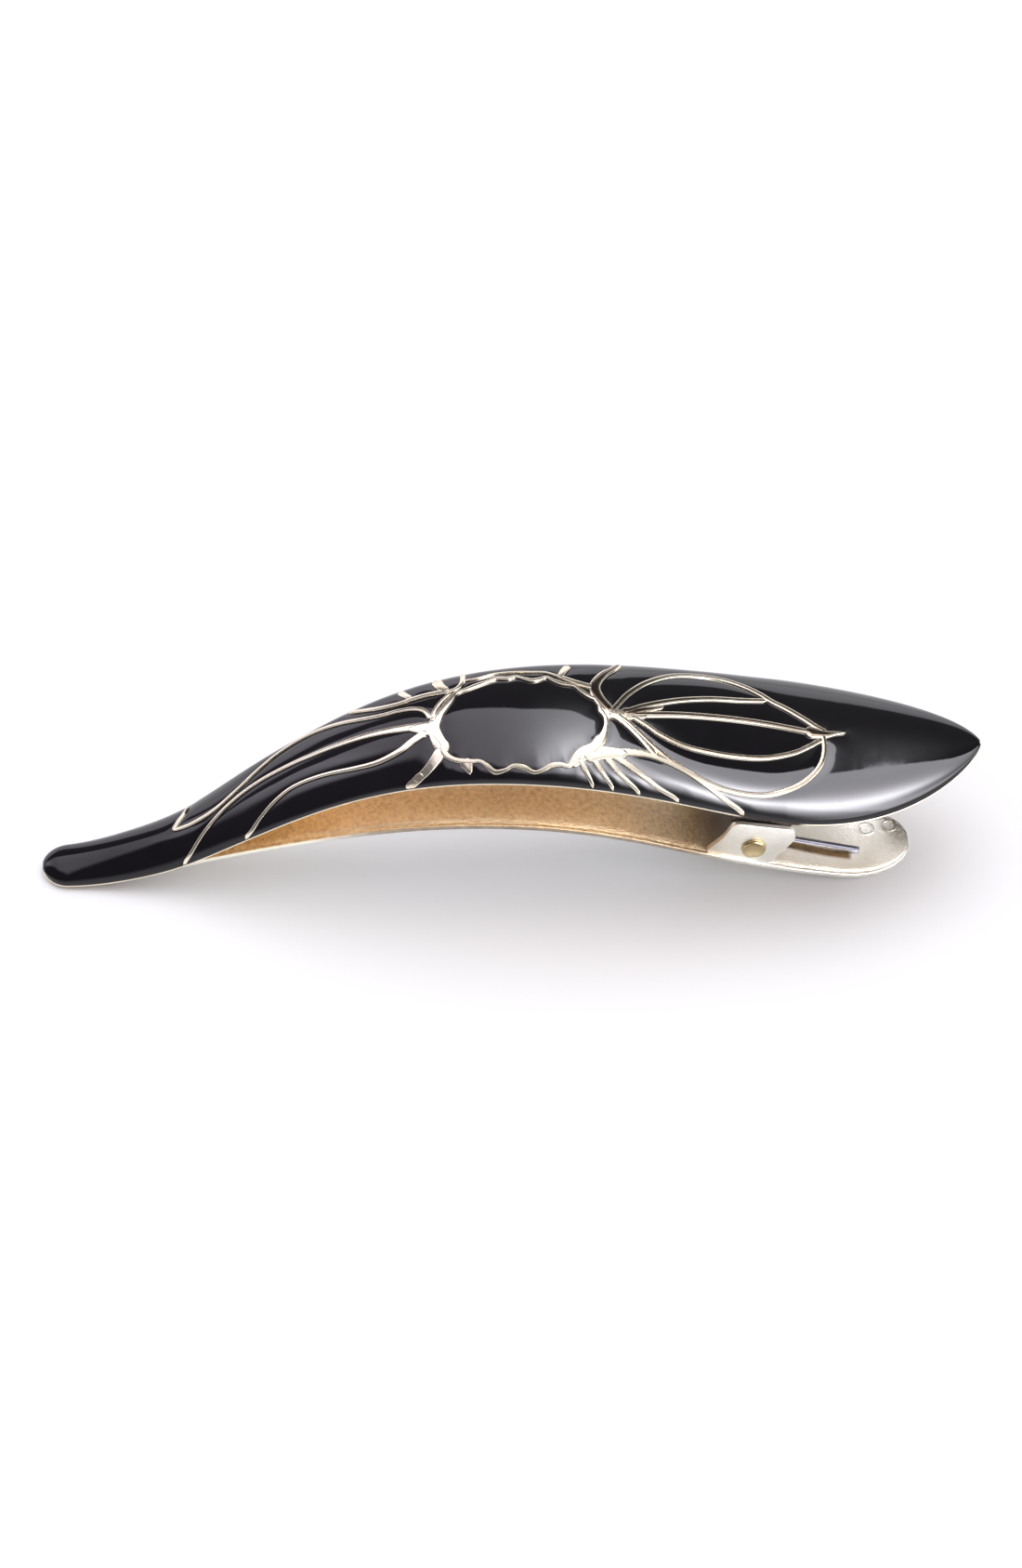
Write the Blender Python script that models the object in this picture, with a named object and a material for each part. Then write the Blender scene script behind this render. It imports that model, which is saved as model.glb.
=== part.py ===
"""Beak-type hair barrette: a domed, enamelled upper shell hinged on a narrow
lower leaf, held shut by a torsion spring.  Units are metres, +Z up, +X runs
from the beak tip to the thumb tail, Y is the width.  Design dimensions below
are in millimetres, X counted from the beak tip."""
import bpy
import bmesh
import math
from mathutils import Vector, Matrix

MM = 0.001

# ------------------------------------------------------------------ dimensions
LENGTH = 133.3            # beak tip to thumb tip
SHELL_T = 0.80            # sheet thickness of the upper shell
EDGE_H = 0.45             # height of the turned gold edge
RELIEF_H = 0.42           # relief lines stand this far above the enamel bed
ENAMEL_LO = 0.06          # underside of the enamel above its bed
ENAMEL_HI = 0.30          # face of the enamel above its bed
RIM_DEG = 79.0            # the plain gold rim starts at this section angle
SECTION_Q = 0.62          # fullness of the domed cross-section
TIP_R = 3.4               # rounding of the beak tip in plan
RELIEF_W = 0.95           # width of a relief line
LEAF_T = 0.75             # lower leaf sheet
LEAF_LEN = 124.5
LEAF_TIP_R = 3.0
FOOT_X = 116.0            # the tail plate is flat on the table from here
PIN_X, PIN_Z = 101.3, 8.65
PIN_R = 0.95
PIN_HOLE_R = 1.00
HEAD_R, HEAD_H = 1.75, 0.62
EAR_IN, EAR_OUT = 6.05, 6.80
LUG_IN, LUG_OUT = 5.05, 5.82
WIRE_R = 0.47
COIL_R = 2.35
COIL_TURNS = 4
COIL_PITCH = 1.02
COIL_Y0 = -2.0

# shell edge height, half width and crown along the length (X, value)
EDGE_Z = [(0, 0.60), (5, 0.68), (12, 2.3), (20, 5.8), (28, 11.8), (36, 17.8), (45, 23.2), (55, 27.0),
          (66, 28.5), (78, 27.8), (90, 25.2), (102, 21.9), (113, 19.7), (121, 19.3), (127, 19.9), (133.3, 21.3)]
HALF_W = [(0, 3.3), (5, 3.55), (12, 4.1), (20, 4.75), (30, 6.2), (40, 7.4), (50, 8.55), (60, 9.6),
          (70, 10.5), (80, 11.25), (90, 12.0), (98, 12.6), (105, 12.85)]
CROWN = [(0, 0.9), (4, 1.7), (10, 2.1), (20, 2.6), (30, 2.15), (40, 1.9), (50, 2.5), (60, 3.1), (75, 3.6),
         (90, 4.3), (105, 4.6), (115, 4.5), (122, 3.8), (128, 2.3), (133.3, 0.25)]
# lower leaf underside height and half width
LEAF_Z = [(0, 0.0), (5, 0.0), (9, 0.35), (12, 1.1), (15, 2.3), (20, 4.6), (27, 7.8), (36, 11.2), (46, 13.7),
          (56, 14.8), (64, 14.8), (74, 13.7), (85, 10.8), (95, 7.0), (105, 3.3), (111, 1.2), (116, 0.0)]
LEAF_HW = [(0, 2.2), (5, 2.6), (12, 3.1), (20, 3.9), (30, 5.3), (40, 6.3), (50, 6.7), (60, 6.87), (104, 6.87), (112, 6.4)]
# ear of the leaf and lug of the shell, side outlines (X, Z)
EAR_OUTLINE = [(94.3, 7.9), (97.0, 11.0), (98.4, 14.0), (106.9, 12.1), (107.3, 10.3), (106.5, 8.8), (104.9, 7.1), (104.2, 4.9)]
LUG_OUTLINE = [(98.0, 23.2), (98.2, 14.0), (98.7, 9.4), (99.2, 7.4), (100.3, 6.35), (101.6, 6.15), (103.0, 6.6),
               (104.4, 8.6), (106.6, 11.9), (108.4, 13.7), (109.2, 17.0), (109.8, 22.2)]

# relief lines on the shell, (X, Y) in plan
RELIEF = {
    "leaf_tip": [(19.0, 0.0), (20.2, 2.2), (21.6, 4.95)],
    "leaf_a": [(18.8, 0.2), (21.2, -0.3), (23.6, -0.3), (26.6, 0.7), (29.8, 2.5), (33.4, 4.6), (37.6, 6.9), (40.8, 7.2), (44.2, 5.3), (48.0, 3.8), (52.0, 3.0), (57.4, 1.2)],
    "leaf_b": [(20.2, -4.7), (22.3, -3.6), (24.9, -1.8), (29.0, 0.4), (34.0, 1.3), (39.5, 1.3), (45.0, 0.9), (50.3, 0.1), (57.4, -0.9)],
    "leaf_c": [(29.2, -6.1), (32.2, -4.5), (35.8, -2.9), (40.0, -2.9), (44.0, -3.8), (48.2, -4.4), (51.4, -3.8), (57.0, -2.2)],
    "sprig_a": [(44.4, 7.8), (48.0, 5.6), (51.5, 4.9), (56.4, 5.0), (59.6, 4.4)],
    "sprig_b": [(53.4, 4.9), (52.8, 6.8), (52.0, 8.7)],
    "branch": [(57.8, -5.2), (56.3, -6.5), (54.8, -7.7), (52.3, -8.8)],
    "claw": [(76.4, -7.4), (79.8, -7.2), (83.9, -6.9), (87.6, -7.4), (92.0, -9.2), (95.4, -11.0), (98.9, -12.6)],
    "fork_a": [(79.4, 0.6), (81.9, 0.8), (84.0, 3.6), (88.0, 7.2), (92.6, 9.2)],
    "fork_b": [(80.9, 0.4), (79.2, 3.2), (80.3, 7.0), (82.6, 11.0)],
    "bud_hi": [(80.4, 0.0), (84.6, 4.2), (88.4, 7.5), (93.0, 9.2), (97.4, 9.2), (100.6, 7.9), (103.3, 6.0), (106.5, 3.7), (110.0, 1.0), (114.4, 0.2)],
    "bud_lo": [(80.4, 0.4), (83.3, -2.1), (87.1, -6.1), (91.6, -9.0), (96.7, -10.5), (101.6, -10.5), (105.5, -9.4), (108.8, -7.2), (110.8, -4.2), (111.0, -0.2)],
    "petal_hi": [(81.6, 0.2), (87.6, 2.0), (93.8, 3.8), (98.9, 4.7), (103.6, 5.5)],
    "petal_lo": [(82.6, -0.9), (86.8, -3.2), (91.2, -5.0), (96.2, -5.6), (102.2, -5.2), (107.0, -3.7), (111.2, -0.8)],
    "vein": [(81.2, 0.0), (86.0, -0.4), (91.0, 0.2), (97.4, 0.6), (104.0, 0.5), (113.8, 0.1)],
}
MEDALLION = [(57.2, 1.4), (59.2, 3.9), (62.4, 5.3), (65.2, 6.4), (68.2, 6.5), (70.2, 5.7), (72.3, 6.0), (74.6, 4.8), (77.4, 3.1), (79.4, 1.4),
             (79.6, -0.1), (80.1, -2.6), (79.2, -5.2), (77.8, -6.8), (75.2, -8.7), (72.6, -8.8), (69.8, -9.4), (67.0, -8.7),
             (64.4, -9.0), (62.2, -7.6), (59.6, -7.1), (58.0, -5.6), (56.9, -2.9), (57.2, -0.6)]

# where each enamelled field lies on the shell, (X, Y) from the middle
FIELD_NAMES = {
    "enamel_leaf_far_edge": (-41.5, 3.2), "enamel_beak": (-40.3, 1.2), "enamel_leaf_middle": (-28.5, -1.9),
    "enamel_leaf_near_edge": (-21.2, -4.9), "enamel_sprig_inner": (-16.7, 5.1), "enamel_sprig_outer": (-16.5, 7.1),
    "enamel_medallion_near_edge": (-1.1, -8.5), "enamel_medallion_far_edge": (1.2, 7.1), "enamel_medallion": (1.5, -1.3),
    "enamel_bud_petal_far": (25.0, 5.9), "enamel_bud_heart_far": (30.4, 2.0), "enamel_bud_heart_near": (31.2, -1.8),
    "enamel_bud_petal_near": (31.5, -6.4), "enamel_tail": (39.8, 1.5),
    "enamel_claw_triangle": (15.7, -4.4),
}


# ------------------------------------------------------------------ functions
def natural_spline(stations):
    xs = [float(a) for a, _ in stations]
    ys = [float(b) for _, b in stations]
    n = len(xs)
    h = [xs[i + 1] - xs[i] for i in range(n - 1)]
    lower, diag, upper, rhs = [0.0] * n, [1.0] * n, [0.0] * n, [0.0] * n
    for i in range(1, n - 1):
        lower[i], diag[i], upper[i] = h[i - 1], 2 * (h[i - 1] + h[i]), h[i]
        rhs[i] = 6 * ((ys[i + 1] - ys[i]) / h[i] - (ys[i] - ys[i - 1]) / h[i - 1])
    for i in range(1, n):
        f = lower[i] / diag[i - 1]
        diag[i] -= f * upper[i - 1]
        rhs[i] -= f * rhs[i - 1]
    m = [0.0] * n
    m[-1] = rhs[-1] / diag[-1]
    for i in range(n - 2, -1, -1):
        m[i] = (rhs[i] - upper[i] * m[i + 1]) / diag[i]

    def value(x):
        x = min(max(x, xs[0]), xs[-1])
        i = 0
        while i < n - 2 and x > xs[i + 1]:
            i += 1
        t, hh = x - xs[i], h[i]
        return ((m[i] * (hh - t) ** 3 + m[i + 1] * t ** 3) / (6 * hh)
                + (ys[i] / hh - m[i] * hh / 6) * (hh - t) + (ys[i + 1] / hh - m[i + 1] * hh / 6) * t)
    return value


edge_z = natural_spline(EDGE_Z)
half_w_raw = natural_spline(HALF_W)
crown_h = natural_spline(CROWN)
leaf_z_raw = natural_spline(LEAF_Z)
leaf_w_raw = natural_spline(LEAF_HW)


def half_w(x):
    a = half_w_raw(min(x, 105.0))
    if x < TIP_R:
        a *= math.sqrt(max(0.0, 1 - ((TIP_R - x) / TIP_R) ** 2))
    if x > 105.0:
        u = min(1.0, (x - 105.0) / (LENGTH - 105.0))
        a *= (1 - u * u) ** 0.68
    return a


def leaf_z(x):
    return 0.0 if x >= FOOT_X or x <= 5.0 else max(0.0, leaf_z_raw(x))


def leaf_w(x):
    a = leaf_w_raw(min(x, 112.0))
    if x < LEAF_TIP_R:
        a *= math.sqrt(max(0.0, 1 - ((LEAF_TIP_R - x) / LEAF_TIP_R) ** 2))
    if x > 112.0:
        u = min(1.0, (x - 112.0) / (LEAF_LEN - 112.0))
        a *= math.sqrt(max(0.0, 1 - u ** 3))
    return a


def leaf_arch(x):
    return 0.7 * min(1.0, max(0.0, (x - 6) / 20.0)) * min(1.0, max(0.0, (96 - x) / 12.0))


def out(x, y, z):
    """row frame in metres: origin under the middle of the object"""
    return Vector(((x - LENGTH / 2) * MM, y * MM, z * MM))


def shell_point(x, phi):
    c = max(0.0, math.cos(phi))
    return Vector((x, half_w(x) * math.sin(phi), edge_z(x) + EDGE_H + crown_h(x) * c ** (2 * SECTION_Q)))


def shell_normal(x, phi):
    ex, ep = 0.05, 0.02
    x0, x1 = max(0.12, x - ex), min(LENGTH - 0.12, x + ex)
    p0, p1 = max(-1.5, phi - ep), min(1.5, phi + ep)
    dx = shell_point(x1, phi) - shell_point(x0, phi)
    dp = shell_point(x, p1) - shell_point(x, p0)
    n = dx.cross(dp)
    if n.z < 0:
        n = -n
    n = Vector((n.x * 0.6, n.y, n.z))
    return n.normalized()


def phi_of(x, y):
    return math.asin(max(-0.999, min(0.999, y / max(0.2, half_w(x)))))


def on_shell(x, y, h):
    p = phi_of(x, y)
    return shell_point(x, p) + shell_normal(x, p) * h


def smooth_path(ctrl, step, closed=False):
    """Catmull-Rom curve through the control points, resampled evenly."""
    n = len(ctrl)
    dense = []
    spans = n if closed else n - 1
    for i in range(spans):
        if closed:
            p = [ctrl[(i + k) % n] for k in (-1, 0, 1, 2)]
        else:
            p = [ctrl[max(0, min(n - 1, i + k))] for k in (-1, 0, 1, 2)]
        for k in range(12):
            t = k / 12.0
            dense.append(tuple(0.5 * (2 * p[1][a] + (p[2][a] - p[0][a]) * t
                                      + (2 * p[0][a] - 5 * p[1][a] + 4 * p[2][a] - p[3][a]) * t * t
                                      + (3 * p[1][a] - p[0][a] - 3 * p[2][a] + p[3][a]) * t ** 3) for a in (0, 1)))
    dense.append(dense[0] if closed else tuple(map(float, ctrl[-1])))
    run = [0.0]
    for a, b in zip(dense, dense[1:]):
        run.append(run[-1] + math.hypot(b[0] - a[0], b[1] - a[1]))
    count = max(3, int(round(run[-1] / step)))
    result, j = [], 0
    for k in range(count + (0 if closed else 1)):
        d = run[-1] * k / count
        while j < len(run) - 2 and run[j + 1] < d:
            j += 1
        f = (d - run[j]) / max(1e-9, run[j + 1] - run[j])
        result.append(tuple(dense[j][a] * (1 - f) + dense[j + 1][a] * f for a in (0, 1)))
    return result


# ------------------------------------------------------------------ scene setup
for old in list(bpy.data.objects):
    bpy.data.objects.remove(old, do_unlink=True)
scene = bpy.context.scene
part_coll = bpy.data.collections.new("barrette")
scene.collection.children.link(part_coll)
cut_coll = bpy.data.collections.new("cutters")
scene.collection.children.link(cut_coll)


def material(name, color, metallic, rough):
    m = bpy.data.materials.new(name)
    m.use_nodes = True
    b = m.node_tree.nodes["Principled BSDF"]
    b.inputs["Base Color"].default_value = (*color, 1.0)
    b.inputs["Metallic"].default_value = metallic
    b.inputs["Roughness"].default_value = rough
    m.diffuse_color = (*color, 1.0)
    return m


GOLD = material("gilt_metal", (0.86, 0.70, 0.44), 1.0, 0.22)
SATIN = material("satin_gilt", (0.80, 0.66, 0.42), 1.0, 0.35)
STEEL = material("spring_steel", (0.55, 0.56, 0.60), 1.0, 0.25)
DARK = material("dark_plated", (0.20, 0.18, 0.17), 1.0, 0.35)


def enamel_material(name):
    return material(name, (0.012, 0.012, 0.014), 0.0, 0.06)


def new_object(name, bm, mat, coll=part_coll):
    bmesh.ops.triangulate(bm, faces=bm.faces[:])
    bmesh.ops.recalc_face_normals(bm, faces=bm.faces[:])
    if bm.calc_volume(signed=True) < 0:
        bmesh.ops.reverse_faces(bm, faces=bm.faces[:])
    me = bpy.data.meshes.new(name)
    bm.to_mesh(me)
    bm.free()
    ob = bpy.data.objects.new(name, me)
    coll.objects.link(ob)
    if mat:
        me.materials.append(mat)
    if coll is cut_coll:
        ob.hide_render = True
        ob.display_type = 'WIRE'
    return ob


def loft_rings(bm, rings, closed=False, strip_caps=False):
    """Skin closed rings of equal length; end rings are capped, by a strip
    of quads between upper and lower rows on wide thin sections."""
    vs = [[bm.verts.new(p) for p in ring] for ring in rings]
    n = len(vs[0])
    spans = len(vs) if closed else len(vs) - 1
    for i in range(spans):
        a, b = vs[i], vs[(i + 1) % len(vs)]
        for j in range(n):
            bm.faces.new((a[j], a[(j + 1) % n], b[(j + 1) % n], b[j]))
    if closed:
        return
    if not strip_caps:
        bm.faces.new(list(reversed(vs[0])))
        bm.faces.new(vs[-1])
        return
    for ring in (vs[0], vs[-1]):
        for j in range(n // 2 - 1):
            bm.faces.new((ring[j], ring[j + 1], ring[n - 2 - j], ring[n - 1 - j]))


def boolean(ob, cutter, op):
    mod = ob.modifiers.new("b", 'BOOLEAN')
    mod.operation = op
    mod.solver = 'EXACT'
    mod.object = cutter
    dg = bpy.context.evaluated_depsgraph_get()
    dg.update()
    me = bpy.data.meshes.new_from_object(ob.evaluated_get(dg))
    ob.modifiers.clear()
    old = ob.data
    ob.data = me
    me.name = ob.name
    bpy.data.meshes.remove(old)


def tidy(ob, dist=0.000002):
    bm = bmesh.new()
    bm.from_mesh(ob.data)
    bmesh.ops.remove_doubles(bm, verts=bm.verts[:], dist=dist)
    bmesh.ops.dissolve_degenerate(bm, edges=bm.edges[:], dist=dist)
    bmesh.ops.triangulate(bm, faces=bm.faces[:])
    bmesh.ops.recalc_face_normals(bm, faces=bm.faces[:])
    if bm.calc_volume(signed=True) < 0:
        bmesh.ops.reverse_faces(bm, faces=bm.faces[:])
    bm.to_mesh(ob.data)
    bm.free()


# ------------------------------------------------------------------ upper shell
RIM = math.radians(RIM_DEG)
STEP_PHI = 0.035
NX = 44
X_IN0, X_IN1 = 1.05, LENGTH - 1.6


def shell_xs():
    body = [X_IN0 + (X_IN1 - X_IN0) * (0.5 - 0.5 * math.cos(math.pi * k / NX)) * 0.30
            + (X_IN1 - X_IN0) * 0.70 * k / NX for k in range(NX + 1)]
    return body


BED_X = shell_xs()
BED_PHI = [-RIM + 2 * RIM * k / 12 for k in range(13)]


def shell_ring(x, raised):
    """outer section from -Y edge to +Y edge, then back along the inside"""
    lo, hi = (RELIEF_H, RELIEF_H) if raised else (0.0, RELIEF_H)
    ring = []
    for phi in (-1.48, -(RIM + STEP_PHI)):
        ring.append(shell_point(x, phi) + shell_normal(x, phi) * hi)
    for phi in BED_PHI:
        ring.append(shell_point(x, phi) + shell_normal(x, phi) * lo)
    for phi in (RIM + STEP_PHI, 1.48):
        ring.append(shell_point(x, phi) + shell_normal(x, phi) * hi)
    w = half_w(x)
    z = edge_z(x)
    ring.append(Vector((x, w, z)))
    wi = max(w - SHELL_T - 0.05, 0.35 * w)
    phis = [1.50] + [-p for p in BED_PHI] + [-1.50]
    for p in phis:
        c = max(0.0, math.cos(p))
        inner_crown = max(0.15, crown_h(x) + EDGE_H - SHELL_T)
        ring.append(Vector((x, wi * math.sin(p), z + 0.02 + inner_crown * c ** (2 * SECTION_Q))))
    ring.append(Vector((x, -w, z)))
    return [out(*p) for p in ring]


bm = bmesh.new()
rings = [shell_ring(0.30, True), shell_ring(X_IN0 - 0.06, True)]
rings += [shell_ring(x, False) for x in BED_X]
rings += [shell_ring(X_IN1 + 0.06, True), shell_ring(LENGTH - 0.30, True)]
loft_rings(bm, rings, strip_caps=True)
shell = new_object("upper_shell", bm, GOLD)

# enamel bed skin, cut later into the separate fields
GAP = 0.07
bm = bmesh.new()
xs = [BED_X[0] + GAP] + BED_X[1:-1] + [BED_X[-1] - GAP]
phis = [BED_PHI[0] + 0.012] + BED_PHI[1:-1] + [BED_PHI[-1] - 0.012]
rings = []
for x in xs:
    top = [shell_point(x, p) + shell_normal(x, p) * ENAMEL_HI for p in phis]
    low = [shell_point(x, p) + shell_normal(x, p) * ENAMEL_LO for p in reversed(phis)]
    rings.append([out(*p) for p in top + low])
loft_rings(bm, rings, strip_caps=True)
skin = new_object("enamel_skin", bm, None, cut_coll)


# ------------------------------------------------------------------ relief lines
def ridge(name, path, width, lo, hi, closed=False, grow=0.0):
    bm = bmesh.new()
    rings = []
    n = len(path)
    for i, (x, y) in enumerate(path):
        a = path[(i - 1) % n] if closed else path[max(0, i - 1)]
        b = path[(i + 1) % n] if closed else path[min(n - 1, i + 1)]
        phi = phi_of(x, y)
        nrm = shell_normal(x, phi)
        base = shell_point(x, phi)
        t = on_shell(b[0], b[1], 0) - on_shell(a[0], a[1], 0)
        side = nrm.cross(t).normalized() * (width / 2 + grow)
        fwd = t.normalized() * grow
        if not closed and i == 0:
            base = base - fwd
        if not closed and i == n - 1:
            base = base + fwd
        rings.append([out(*(base + side + nrm * lo)), out(*(base - side + nrm * lo)),
                      out(*(base - side + nrm * hi)), out(*(base + side + nrm * hi))])
    loft_rings(bm, rings, closed)
    return new_object(name, bm, None, cut_coll)


SPACING = 2.6
paths = {k: (smooth_path(v, SPACING), False) for k, v in RELIEF.items()}
paths["medallion"] = (smooth_path(MEDALLION, 1.9, True), True)
widths = {"medallion": 1.25, "claw": 1.3, "branch": 1.2}
for number, (key, (path, closed)) in enumerate(paths.items()):
    step_h = 0.009 * (number % 4)     # crossing lines differ a little in height
    wdt = widths.get(key, RELIEF_W)
    r = ridge("ridge_" + key, path, wdt, -0.35 - step_h, RELIEF_H + 0.02 + step_h, closed)
    boolean(shell, r, 'UNION')
    c = ridge("trench_" + key, path, wdt, -0.6, 1.2, closed, 0.07)
    boolean(skin, c, 'DIFFERENCE')
    if c.name in bpy.data.objects:
        bpy.data.objects.remove(c, do_unlink=True)
    bpy.data.objects.remove(r, do_unlink=True)
tidy(shell)
tidy(skin)

# ------------------------------------------------------------------ enamel fields
bm = bmesh.new()
bm.from_mesh(skin.data)
bm.verts.ensure_lookup_table()
seen, islands = set(), []
for v in bm.verts:
    if v.index in seen:
        continue
    stack, group = [v], []
    seen.add(v.index)
    while stack:
        q = stack.pop()
        group.append(q)
        for e in q.link_edges:
            o = e.other_vert(q)
            if o.index not in seen:
                seen.add(o.index)
                stack.append(o)
    islands.append(group)
pieces = []
for group in islands:
    faces = {f for v in group for f in v.link_faces}
    piece = bmesh.new()
    remap = {v: piece.verts.new(v.co) for v in group}
    for f in faces:
        piece.faces.new([remap[v] for v in f.verts])
    vol = abs(piece.calc_volume(signed=True)) * 1e9
    cx = sum(v.co.x for v in group) / len(group)
    cy = sum(v.co.y for v in group) / len(group)
    pieces.append((vol, cx, cy, piece))
bm.free()
bpy.data.objects.remove(skin, do_unlink=True)
pieces.sort(key=lambda p: -p[0])
free_names = dict(FIELD_NAMES)
for vol, cx, cy, piece in pieces:
    if vol < 0.25:
        piece.free()
        continue
    name = min(free_names, key=lambda k: math.hypot(cx * 1000 - free_names[k][0], cy * 1000 - free_names[k][1]))
    free_names.pop(name)
    ob = new_object(name, piece, enamel_material(name + "_black"))
    print(name, "volume mm3 %.2f" % vol, "centre %.1f %.1f" % (cx * 1000, cy * 1000))


# ------------------------------------------------------------------ lower leaf
def leaf_ring(x):
    w, z, arch = leaf_w(x), leaf_z(x), leaf_arch(x)
    t = LEAF_T if x > 10 else 0.5 + 0.25 * max(0.0, (x - 4)) / 6.0
    ring = []
    cols = [-1.0, -0.6, 0.0, 0.6, 1.0]
    for v in cols:
        ring.append(Vector((x, w * v, z + t + arch * (1 - v * v))))
    for v in reversed(cols):
        ring.append(Vector((x, w * v, z + arch * (1 - v * v))))
    return [out(*p) for p in ring]


bm = bmesh.new()
leaf_x = [0.35, 1.0, 2.0, 3.2, 5.0, 7.5, 10, 13, 16, 19, 23, 27, 31, 36, 41, 46, 51, 56, 61, 66, 71, 76, 81, 86, 90.5,
          95, 98, 101, 104, 107, 110, 112, 114, 116, 118, 119.5, 121, 122.2, 123.2, 123.9, 124.35]
loft_rings(bm, [leaf_ring(x) for x in leaf_x], strip_caps=True)
leaf = new_object("lower_leaf", bm, SATIN)


def plate_xz(name, outline, y0, y1, coll=cut_coll):
    bm = bmesh.new()
    loft_rings(bm, [[out(x, y0, z) for x, z in outline], [out(x, y1, z) for x, z in outline]])
    return new_object(name, bm, None, coll)


def cylinder_y(name, r, x, z, y0, y1, segs=24):
    bm = bmesh.new()
    ring = [(x + r * math.cos(2 * math.pi * k / segs), z + r * math.sin(2 * math.pi * k / segs)) for k in range(segs)]
    loft_rings(bm, [[out(a, y0, b) for a, b in ring], [out(a, y1, b) for a, b in ring]])
    return new_object(name, bm, None, cut_coll)


for s, tag in ((-1, "near"), (1, "far")):
    foot = [(104.2, leaf_z(104.2) + 0.35), (101.0, leaf_z(101.0) + 0.35), (97.5, leaf_z(97.5) + 0.35), (94.3, leaf_z(94.3) + 0.35)]
    ear = plate_xz("ear_" + tag, EAR_OUTLINE + foot, s * EAR_IN, s * (EAR_OUT - 0.004))
    boolean(leaf, ear, 'UNION')
    bpy.data.objects.remove(ear, do_unlink=True)
hole = cylinder_y("pin_hole_leaf", PIN_HOLE_R, PIN_X, PIN_Z, -9, 9)
boolean(leaf, hole, 'DIFFERENCE')
bpy.data.objects.remove(hole, do_unlink=True)
tidy(leaf)


# ------------------------------------------------------------------ hinge bracket
def inner_z(x, y):
    w = half_w(x)
    wi = max(w - SHELL_T - 0.05, 0.35 * w)
    p = math.asin(max(-1, min(1, y / wi)))
    return edge_z(x) + 0.02 + (crown_h(x) + EDGE_H - SHELL_T) * math.cos(p) ** (2 * SECTION_Q)


def facet_inner_z(x, y):
    """height of the faceted inside of the shell, taken between its stations"""
    xs_all = BED_X
    i = max(k for k in range(len(xs_all)) if xs_all[k] <= x)
    a, b = xs_all[i], xs_all[min(i + 1, len(xs_all) - 1)]
    f = (x - a) / (b - a)
    vals = []
    for q in (a, b):
        w = half_w(q)
        wi = max(w - SHELL_T - 0.05, 0.35 * w)
        ph = [math.asin(math.sin(p)) for p in BED_PHI]
        ys = [wi * math.sin(p) for p in ph]
        zs = [edge_z(q) + 0.02 + (crown_h(q) + EDGE_H - SHELL_T) * math.cos(p) ** (2 * SECTION_Q) for p in ph]
        for k in range(len(ys) - 1):
            if ys[k] <= y <= ys[k + 1]:
                g = (y - ys[k]) / (ys[k + 1] - ys[k])
                vals.append(zs[k] * (1 - g) + zs[k + 1] * g)
                break
    return vals[0] * (1 - f) + vals[1] * f


SADDLE_GAP, SADDLE_T = 0.10, 0.8
bm = bmesh.new()
rings = []
for k in range(6):
    x = 97.4 + 12.8 * k / 5
    cols = [LUG_OUT * (-1 + 2 * j / 8) for j in range(9)]
    top = [Vector((x, y, facet_inner_z(x, y) - SADDLE_GAP)) for y in cols]
    low = [Vector((x, y, facet_inner_z(x, y) - SADDLE_GAP - SADDLE_T)) for y in reversed(cols)]
    rings.append([out(*p) for p in top + low])
loft_rings(bm, rings, strip_caps=True)
bracket = new_object("hinge_bracket", bm, DARK)
for s, tag in ((-1, "near"), (1, "far")):
    outline = [(x, (z if z < 21 else facet_inner_z(x, LUG_OUT) - SADDLE_GAP - 0.3)) for x, z in LUG_OUTLINE]
    lug = plate_xz("lug_" + tag, outline, s * LUG_IN, s * (LUG_OUT - 0.003))
    boolean(bracket, lug, 'UNION')
    bpy.data.objects.remove(lug, do_unlink=True)
hole = cylinder_y("pin_hole_bracket", PIN_HOLE_R, PIN_X, PIN_Z, -9, 9)
boolean(bracket, hole, 'DIFFERENCE')
bpy.data.objects.remove(hole, do_unlink=True)
tidy(bracket)

# ------------------------------------------------------------------ pivot pin
bm = bmesh.new()
profile = [(0.35, -(EAR_OUT + 0.06 + HEAD_H)), (1.05, -(EAR_OUT + 0.06 + HEAD_H * 0.86)), (1.5, -(EAR_OUT + 0.06 + HEAD_H * 0.52)),
           (HEAD_R, -(EAR_OUT + 0.06 + HEAD_H * 0.12)), (HEAD_R, -(EAR_OUT + 0.06)), (PIN_R, -(EAR_OUT + 0.06))]
profile += [(r, -y) for r, y in reversed(profile)]
SEG = 24
loft_rings(bm, [[out(PIN_X + r * math.cos(2 * math.pi * k / SEG), y, PIN_Z + r * math.sin(2 * math.pi * k / SEG)) for k in range(SEG)]
                for r, y in profile])
pin = new_object("pivot_pin", bm, GOLD)

# ------------------------------------------------------------------ return spring
pts = []
LOW_TIP = (117.0, COIL_Y0, LEAF_T + WIRE_R + 0.06)
# lower leg runs from its tip on the tail plate to the tangent of the coil
dx, dz = PIN_X - LOW_TIP[0], PIN_Z - LOW_TIP[2]
dist = math.hypot(dx, dz)
ang_c = math.atan2(dz, dx)
off = math.asin(COIL_R / dist)
leg = math.sqrt(dist ** 2 - COIL_R ** 2)
dir_low = ang_c + off
t_low = (LOW_TIP[0] + leg * math.cos(dir_low), LOW_TIP[2] + leg * math.sin(dir_low))
start = math.atan2(t_low[1] - PIN_Z, t_low[0] - PIN_X)
for k in range(3):
    f = k / 3.0
    pts.append((LOW_TIP[0] * (1 - f) + t_low[0] * f, COIL_Y0, LOW_TIP[2] * (1 - f) + t_low[1] * f))
HIGH_X = 112.0
HIGH_Y = COIL_Y0 + COIL_PITCH * (COIL_TURNS + 0.55)
high = (HIGH_X, HIGH_Y, facet_inner_z(HIGH_X, HIGH_Y) - WIRE_R - 0.14)
hx, hz = high[0] - PIN_X, high[2] - PIN_Z
hdist = math.hypot(hx, hz)
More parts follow.
